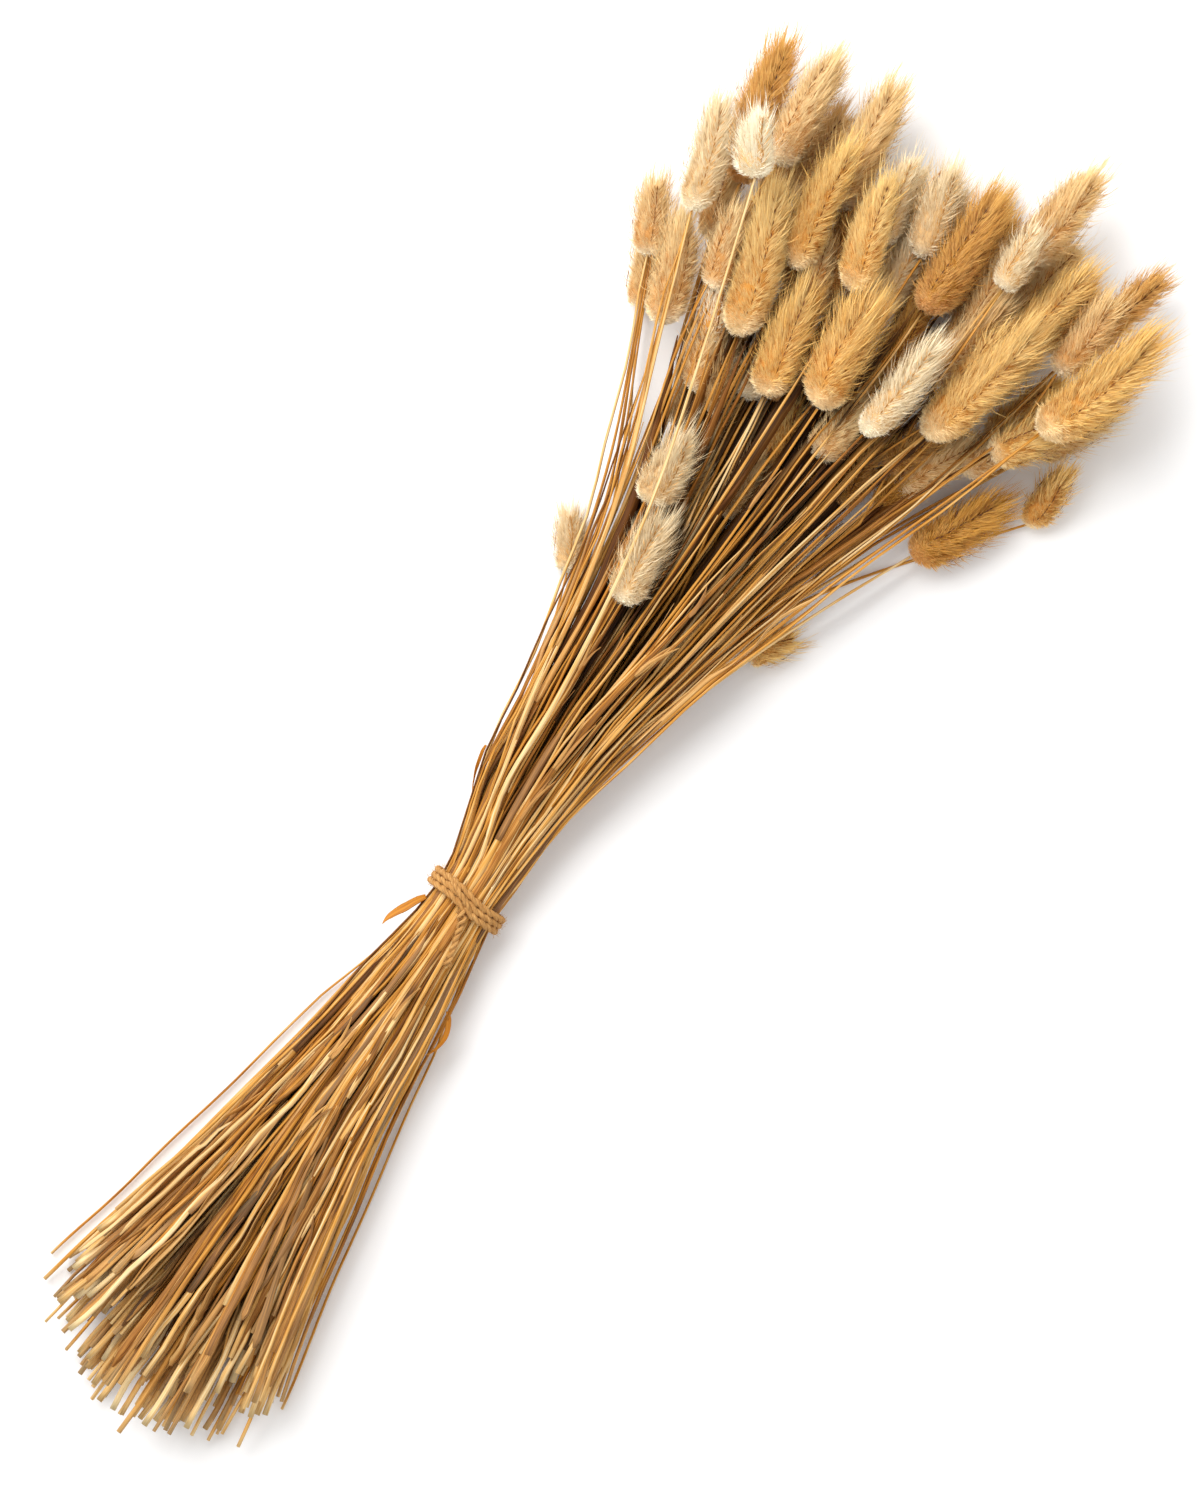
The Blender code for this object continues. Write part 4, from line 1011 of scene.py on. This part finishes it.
# %% Low heads
SideHead = namedtuple("SideHead", "tip base width height tint")
SIDE_HEAD_DENSITY = 0.7
SIDE_HEAD_RISE = 0.004
SIDE_HEADS = [SideHead(*row) for row in (
    ((818, 188), (786, 282), 42, 0.020, "grass_gold"), ((948, 244), (905, 332), 42, 0.018, "grass_gold"),
    ((856, 296), (822, 370), 40, 0.022, "grass_amber"), ((928, 292), (882, 374), 42, 0.020, "grass_amber"),
    ((990, 298), (936, 372), 42, 0.022, "grass_amber"), ((1014, 213), (975, 298), 42, 0.018, "grass_gold"),
    ((962, 186), (928, 272), 42, 0.024, "grass_cream"), ((948, 416), (886, 468), 40, 0.018, "grass_amber"),
    ((1034, 420), (962, 470), 42, 0.016, "grass_tan"), ((1098, 286), (1040, 348), 42, 0.020, "grass_gold"),
    ((768, 262), (700, 340), 38, 0.018, "grass_amber"), ((800, 120), (770, 205), 42, 0.020, "grass_tan"),
    ((875, 130), (838, 222), 42, 0.018, "grass_gold"), ((795, 330), (778, 400), 38, 0.020, "grass_amber"),
    ((912, 158), (880, 246), 40, 0.034, "grass_cream"), ((952, 170), (920, 260), 42, 0.036, "grass_cream"),
    ((826, 240), (800, 324), 42, 0.030, "grass_tan"), ((1112, 298), (1056, 374), 44, 0.032, "grass_tan"),
    ((738, 210), (714, 292), 38, 0.036, "grass_tan"), ((728, 268), (708, 346), 36, 0.030, "grass_gold"),
    ((716, 318), (696, 392), 36, 0.028, "grass_tan"), ((846, 416), (808, 488), 38, 0.015, "grass_amber"),
    ((884, 436), (842, 504), 38, 0.014, "grass_amber"), ((926, 448), (880, 510), 38, 0.013, "grass_amber"),
    ((800, 396), (772, 470), 36, 0.015, "grass_gold"), ((1000, 330), (946, 404), 42, 0.034, "grass_gold"),
    ((858, 204), (826, 292), 40, 0.024, "grass_amber"), ((1010, 250), (968, 336), 42, 0.030, "grass_tan"),
)]


def carrier_of(base):
    """The stalk that runs nearest to a place."""
    def distance(stalk):
        if stalk.base[1] < base[1]:
            return 1.0
        return np.hypot(*[stalk.at(base[1] - 0.02, axis) - base[axis] for axis in (0, 2)])
    return min(stalks, key=distance)


def grow_side_head(piece, stalk, side_head, rng):
    """A side shoot from above the tie to a low head, and the head."""
    low = copy.copy(stalk)
    low.set_head(place_on(side_head.base, side_head.height),
                 place_on(side_head.tip, side_head.height + SIDE_HEAD_RISE))
    low.head_radius = side_head.width * PIXEL / 2
    low.density = SIDE_HEAD_DENSITY
    low.tint = side_head.tint
    path, spot = part_of_path(stalk.whole, TIE[1] + 0.02, low.base[1], 30)
    path = path + (spot * spot * (3 - 2 * spot))[:, None] * (low.base - path[-1])
    size = np.interp(spot, (0.0, 0.2, 1.0), (0.0006, 0.0007, 0.00045))
    add_stem(piece, path, SHOOT_SIDES, size, 0.0006, rng.random(), 0.5, ((0, 1), (0, 0)),
             length=low.base[1] - path[0, 1])
    return grow_head(piece, low, rng, slot=3)


TORN = ((770, 500), (735, 640), (597, 667), (613, 659), (637, 652), (560, 742), (345, 1045), (300, 1118),
        (262, 1190), (215, 1240), (330, 1140), (690, 600), (530, 800), (395, 1000))
torn_sheaths = {}
for pixel in TORN:
    spot = place_on(pixel, 0.0)
    near = [stalk for stalk in stalks if stalk.path[0, 1] < spot[1] < stalk.base[1] - 0.01
            and abs(stalk.at(spot[1], 0) - spot[0]) < 0.006]
    top = max(near, key=lambda stalk: stalk.at(spot[1], 2))
    torn_sheaths.setdefault(top.name, []).append(spot[1])
print(sum(len(places) for places in torn_sheaths.values()), "torn sheaths")

low_heads = {}
for side_head in SIDE_HEADS:
    carrier = carrier_of(place_on(side_head.base, side_head.height))
    while carrier.name in low_heads:
        carrier = stalks[(stalks.index(carrier) + 1) % len(stalks)]
    low_heads[carrier.name] = side_head
print(len(low_heads), "low heads")

# %% Growing the stalks
STALK_SEED = 700
STRAW_TONES = (0.28, 0.46, 0.60, 0.76)
AWNS = (0.5, 1.0, 1.6)
LONE = ("stalk_30", "stalk_31", "stalk_46", "stalk_47")
# Heights over which cream heads are painted paler, as painted light on the top of the pile.
PALEST_ON_TOP = (0.045, 0.062)
triangles = 0
hair_count = 0
for number, stalk in enumerate(stalks):
    rng = np.random.default_rng(STALK_SEED + number)
    stalk.whole = smooth_path(stalk.path, WHOLE_POINTS)
    stalk.seed = rng.random()
    stalk.straw_tone = rng.choice(STRAW_TONES) + rng.normal(0, 0.06)
    # A random paleness, and on cream heads high in the pile a painted light that grows with their height.
    stalk.bleach = rng.uniform(0.0, 0.10)
    if stalk.tint == "grass_cream":
        stalk.bleach += np.interp(stalk.base[2], PALEST_ON_TOP, (0.0, 0.75))
    stalk.shade = rng.normal(0, 0.06)
    stalk.density = 1.0
    first, second = around(stalk.axis)
    stalk.bend = first * rng.uniform(-0.20, 0.20) + second * rng.uniform(-0.05, 0.10)
    stalk.awns = rng.choice(AWNS)
    piece = Piece(f"bunny_tail_{number + 1:02d}")
    grow_straw(piece, stalk, rng)
    bare = stalk.base[2] > PALEST_ON_TOP[0]
    lone = stalk.name in LONE
    for to_head in (False,) if lone else (False, not bare, False, not bare):
        grow_shoot(piece, stalk, to_head, rng)
    for start in (-0.20, -0.125) if lone else (-0.20, -0.125, -0.02, 0.05):
        grow_leaf(piece, stalk, TIE[1] + start + rng.uniform(0, 0.06), rng)
    for _ in range(3 if top_below_tie(stalk) else 1):
        grow_strap(piece, stalk, rng)
    # Blades painted dark, as the shade between the straws of the fan.
    for _ in range(0 if lone else 2):
        grow_shade_blade(piece, stalk, rng)
    for loose_straw in loose_by_stalk.get(stalk.name, ()):
        grow_loose_straw(piece, loose_straw, rng)
    for along in torn_sheaths.get(stalk.name, ()):
        grow_torn_sheath(piece, stalk, along, rng)
    hair_count += grow_head(piece, stalk, rng)
    materials = [straw, sheath, hair_materials[stalk.tint]]
    if stalk.name in low_heads:
        materials.append(hair_materials[low_heads[stalk.name].tint])
        hair_count += grow_side_head(piece, stalk, low_heads[stalk.name], rng)
    made = piece.finish(materials, stalk.name, stalk.tint)
    made.data.calc_loop_triangles()
    triangles += len(made.data.loop_triangles)
print(len(stalks), "stalks,", triangles, "triangles,", hair_count, "hairs")

# %% [markdown]
# ## The twine
#
# Jute twine is two plies of coarse plant fibre twisted round each other, matt and a little hairy. It
# goes three times round the waist, and one strand slants over the others on top before it dips
# under them. The tail comes out below the lowest turn, where its plies have come apart, and lies on
# the straws. Each ply is the bar laid along a spiral round the twine's path, so the twist is real
# and its shadows are too.

# %% The look of jute
# Jute is combed bast fibre. It is dull and slightly hairy, with streaks of fibre along each ply.
JUTE_STOPS = ((0.25, "724418"), (0.42, "AE783A"), (0.58, "CE9A56"), (0.8, "E4C086"))
jute, jute_shader = new_material("two-ply jute twine", {"Roughness": 0.85})
jute_grain = node(jute, "ShaderNodeAttribute", attribute_name="grain").outputs["Vector"]
jute_noise = {"Vector": jute_grain, "Scale": 1.0, "Detail": 4.0, "Roughness": 0.65}
jute_streaks = node(jute, "ShaderNodeTexNoise", jute_noise).outputs["Fac"]
jute_fibres = node(jute, "ShaderNodeValToRGB", {0: jute_streaks}, JUTE_STOPS)
mix_by_values(jute, jute_shader, jute_fibres.outputs["Color"], dark="5A381B")
jute_bump = node(jute, "ShaderNodeBump", {"Height": jute_streaks, "Strength": 0.9, "Distance": 0.0004})
jute.node_tree.links.new(jute_bump.outputs["Normal"], jute_shader.inputs["Normal"])

# %% The twine's path round the waist
TWINE_RADIUS = 0.0015
TWINE_PITCH = 0.0023
TWINE_TURNS = 3
TWINE_START = -0.40
TWINE_SLANT = 0.18
WAIST_AXES = (0.0126, 0.0108)
TWINE_CLEARANCE = 0.0003
LIFT = TWINE_CLEARANCE + TWINE_RADIUS


def turn_path():
    """Three flat turns that step one pitch along in a short slant over the top."""
    turns = TWINE_START + np.linspace(0, TWINE_TURNS, 400)
    whole, part = np.divmod(turns - 0.25 + TWINE_SLANT / 2, 1.0)
    slant = np.minimum(part / TWINE_SLANT, 1.0)
    slant = slant * slant * (3 - 2 * slant)
    across = TIE[0] + (WAIST_AXES[0] + LIFT) * np.cos(math.tau * turns)
    height = TIE[2] + (WAIST_AXES[1] + LIFT) * np.sin(math.tau * turns)
    along = TIE[1] + (whole + slant - TWINE_TURNS / 2) * TWINE_PITCH
    return np.column_stack((across, along, height))


def over_waist(pixel, lift):
    """A point over the waist's top, at a pixel of the photograph and a height above the straws."""
    spot = place_on(pixel, 0.0)
    across = (spot[0] - TIE[0]) / (WAIST_AXES[0] + lift)
    spot[2] = TIE[2] + (WAIST_AXES[1] + lift) * math.sqrt(max(1 - across**2, 0.0))
    return spot


CROSSING = (((452, 880), 0.0016), ((457, 887), 0.0032), ((462, 895), 0.0037), ((467, 904), 0.0032),
            ((471, 912), 0.0014))
crossing_path = smooth_path([over_waist(*step) for step in CROSSING], 60)

# %% The tail's path
TAIL_PIXELS = ((461, 909), (462, 919), (459, 930), (455, 942), (451, 954), (447, 965))
TAIL_SUNK = 0.0008
twine_solid = BVHTree.FromBMesh(merged_copy("twine_tie"))


def on_twine_solid(pixel):
    """A point of the tail's middle, found from above on the tail's solid."""
    spot = place_on(pixel, 0.1)
    hit = twine_solid.ray_cast(Vector(spot), Vector((0.0, 0.0, -1.0)))[0]
    spot[2] = (hit.z if hit else TIE[2] + WAIST_AXES[1]) - TAIL_SUNK
    return spot


tail_points = [on_twine_solid(pixel) for pixel in TAIL_PIXELS]
tail_points[0][2] = min(tail_points[0][2], tail_points[1][2] + 0.0008)
tail_path = smooth_path(tail_points, 80)
print("tail", [round(float(point[2]) * 1000, 1) for point in tail_points], "mm high")

# %% Plies
PLY_SIDES = 10
PLY_STEP = 0.00045
TURN_PLY = 0.00082
LOOSE_PLY = 0.00062
TURN_LAY = 0.0070
LOOSE_LAY = 0.0058


def add_plies(piece, path, reference, ply_radius, offset, lay_length, start=0.0):
    """Two plies twisted round each other along a path."""
    length = length_of(path)
    spot = np.linspace(0, 1, len(path))
    ends = np.interp(spot, (0, 0.01, 0.99, 1), (0.6, 1, 1, 0.6))
    for ply in (0, 1):
        angle = start + spot * length / lay_length * math.tau + ply * math.pi
        centre = beside(path, angle, np.broadcast_to(offset, spot.shape), reference)
        bm = make_bar(PLY_SIDES, int(length / PLY_STEP))
        bar = corners(bm)
        size = ply_radius * (1 + 0.09 * np.sin(spot * length * 1900 + ply)) * ends
        places = lay(bar, centre, size, size, reference=reference, twist=angle)
        grain = np.column_stack((bar[:, 0] * 3.5 + ply * 9, bar[:, 1] * 3.5, bar[:, 2] * length / 0.0035))
        piece.add(bm, places, slot=0, grain=grain)


def add_fuzz(piece, path, count, radius, rng):
    """Loose fibres that stand out of the twine."""
    where = rng.uniform(0, len(path) - 1.001, count)
    index = where.astype(int)
    side, rise = frames_along(path, UP + 0.01)
    ahead = np.cross(side, rise)[index]
    out = turned(rng.uniform(0, math.tau, count), side[index], rise[index])
    middle = path[index] + (path[index + 1] - path[index]) * (where - index)[:, None]
    root = middle + out * (radius * rng.uniform(0.7, 1.0, count))[:, None]
    heading = unit(out * rng.uniform(0.15, 0.8, count)[:, None]
                   + ahead * rng.choice((-1.0, 1.0), count)[:, None] + rng.normal(0, 0.35, (count, 3)))
    reach = rng.uniform(0.0010, 0.0028, count)
    fibres = Hairs(count, root, heading, reach, square_to(heading, out), 0.5)
    across = across_of(fibres, rng.uniform(0.00007, 0.00013, count), rng)
    add_kites(piece, fibres, across, reach * 0.08, [(0.0, 0.15, 0.0)] * 4, bleach=0.0, slot=0)


# %% Winding the twine
twine = Piece("twine")
ALONG = np.array((0.0, 1.0, 0.0))
TAIL_SPLIT = ((0.0, 0.10, 0.40, 0.8, 1.0), (0.0014, 0.0013, 0.00056, 0.00050, 0.0009))
split = np.interp(np.linspace(0, 1, len(tail_path)), *TAIL_SPLIT)
add_plies(twine, turn_path(), ALONG, TURN_PLY, 0.00050, TURN_LAY)
add_plies(twine, crossing_path, UP, LOOSE_PLY, 0.00040, LOOSE_LAY, start=0.8)
add_plies(twine, tail_path, UP, LOOSE_PLY, split, LOOSE_LAY)
twine_rng = np.random.default_rng(31)
for path, count, radius in ((turn_path(), 1500, 0.0014), (crossing_path, 90, 0.0012),
                            (tail_path, 160, 0.0009), (tail_path[-12:], 90, 0.0008)):
    add_fuzz(twine, path, count, radius, twine_rng)
twine_made = twine.finish((jute,), "twine_tie", "jute_twine")
print("twine", len(twine_made.data.polygons), "faces")

# %% [markdown]
# ## Loose leaf scraps
#
# Three dry leaves stand clear of the straws: an orange strip at the left of the tie, a peeled sheath
# above it and a curl below it on the right. Each was a flat ribbon that twisted as it dried, so it
# is the bar again, thin and folded along its rib, laid along the middle of the leaf's solid.

# %% Leaf scraps
LEAF_ROWS = 9
Scrap = namedtuple("Scrap", "node wide fold twist")
SCRAPS = (
    Scrap("leaf_strip_left", wide=0.0016, fold=0.30, twist=0.5),
    Scrap("leaf_sheath_left", wide=0.0008, fold=0.30, twist=-1.6),
    Scrap("leaf_curl_right", wide=0.0012, fold=0.50, twist=1.2),
)


def middle_line(name):
    """The middle of a leaf's solid, row by row along the bundle."""
    bm = merged_copy(name)
    places = corners(bm)
    bm.free()
    rows = np.array_split(places[np.argsort(-places[:, 1])], LEAF_ROWS)
    return np.array([row.mean(axis=0) for row in rows])


for number, leaf in enumerate(SCRAPS):
    rng = np.random.default_rng(90 + number)
    piece = Piece(leaf.node.replace("leaf_", "dry_leaf_"))
    path = smooth_path(middle_line(leaf.node), 34)
    spot = np.linspace(0, 1, len(path))
    wide = leaf.wide * np.interp(spot, (0.0, 0.15, 0.5, 0.8, 1.0), (0.55, 0.80, 1.0, 0.70, 0.08))
    add_ribbon(piece, path, wide, 0.00020, spot * leaf.twist, (0.55, 0.1, 0.0), rng, fold=leaf.fold, slot=0,
               sides=8)
    piece.finish((scrap,), leaf.node, "dry_leaf")
    print(leaf.node, "becomes a ribbon", round(2000 * leaf.wide, 1), "mm wide")

# %% [markdown]
# ## The camera
#
# The photograph looks straight down, turned so that the bundle runs from the lower left to the upper
# right. A long lens from far up keeps the sides of the heads from showing, as in the photograph.

# %% Camera
PHOTO_HEIGHT = 1499
SENSOR = 36
LENS = 150
SUBJECT_HEIGHT = 0.028
FRAME_CENTRE = (0.00885, 0.07031)
camera_data = bpy.data.cameras.new("camera")
camera_data.lens = LENS
camera_data.clip_end = 20
camera = new_object("camera", camera_data)
camera.location = (TIE[0] + FRAME_CENTRE[0], TIE[1] + FRAME_CENTRE[1],
                   SUBJECT_HEIGHT + LENS / SENSOR * (PHOTO_HEIGHT * PIXEL))
camera.rotation_euler = (0.0, 0.0, LEAN)
bpy.context.scene.camera = camera

# %% [markdown]
# ## Floor and light
#
# The bundle was photographed on white paper, with one large soft light from the upper left that
# leaves a faint grey shadow at the lower right. A softbox and a bright even surrounding do the same.

# %% Floor and light
bm = bmesh.new()
bmesh.ops.create_grid(bm, x_segments=1, y_segments=1, size=4.0)
floor_mesh = bpy.data.meshes.new("floor")
bm.to_mesh(floor_mesh)
bm.free()
floor = new_object("floor", floor_mesh)
paper, _ = new_material("white paper sweep", {"Base Color": colour("F4F4F4"), "Roughness": 0.9})
floor_mesh.materials.append(paper)

world = bpy.data.worlds.new("studio")
world.use_nodes = True
world.node_tree.nodes["Background"].inputs["Color"].default_value = colour("FFFFFF")
world.node_tree.nodes["Background"].inputs["Strength"].default_value = 0.85
bpy.context.scene.world = world
bpy.context.scene.view_settings.view_transform = "Standard"


def add_softbox(name, direction, distance, size, power):
    data = bpy.data.lights.new(name, "AREA")
    data.size = size
    data.energy = power
    lamp = new_object(name, data)
    lamp.location = Vector(direction).normalized() * distance
    lamp.rotation_euler = lamp.location.to_track_quat("Z", "Y").to_euler()


add_softbox("key softbox", direction=(-0.75, 0.35, 1.05), distance=1.7, size=1.3, power=33)
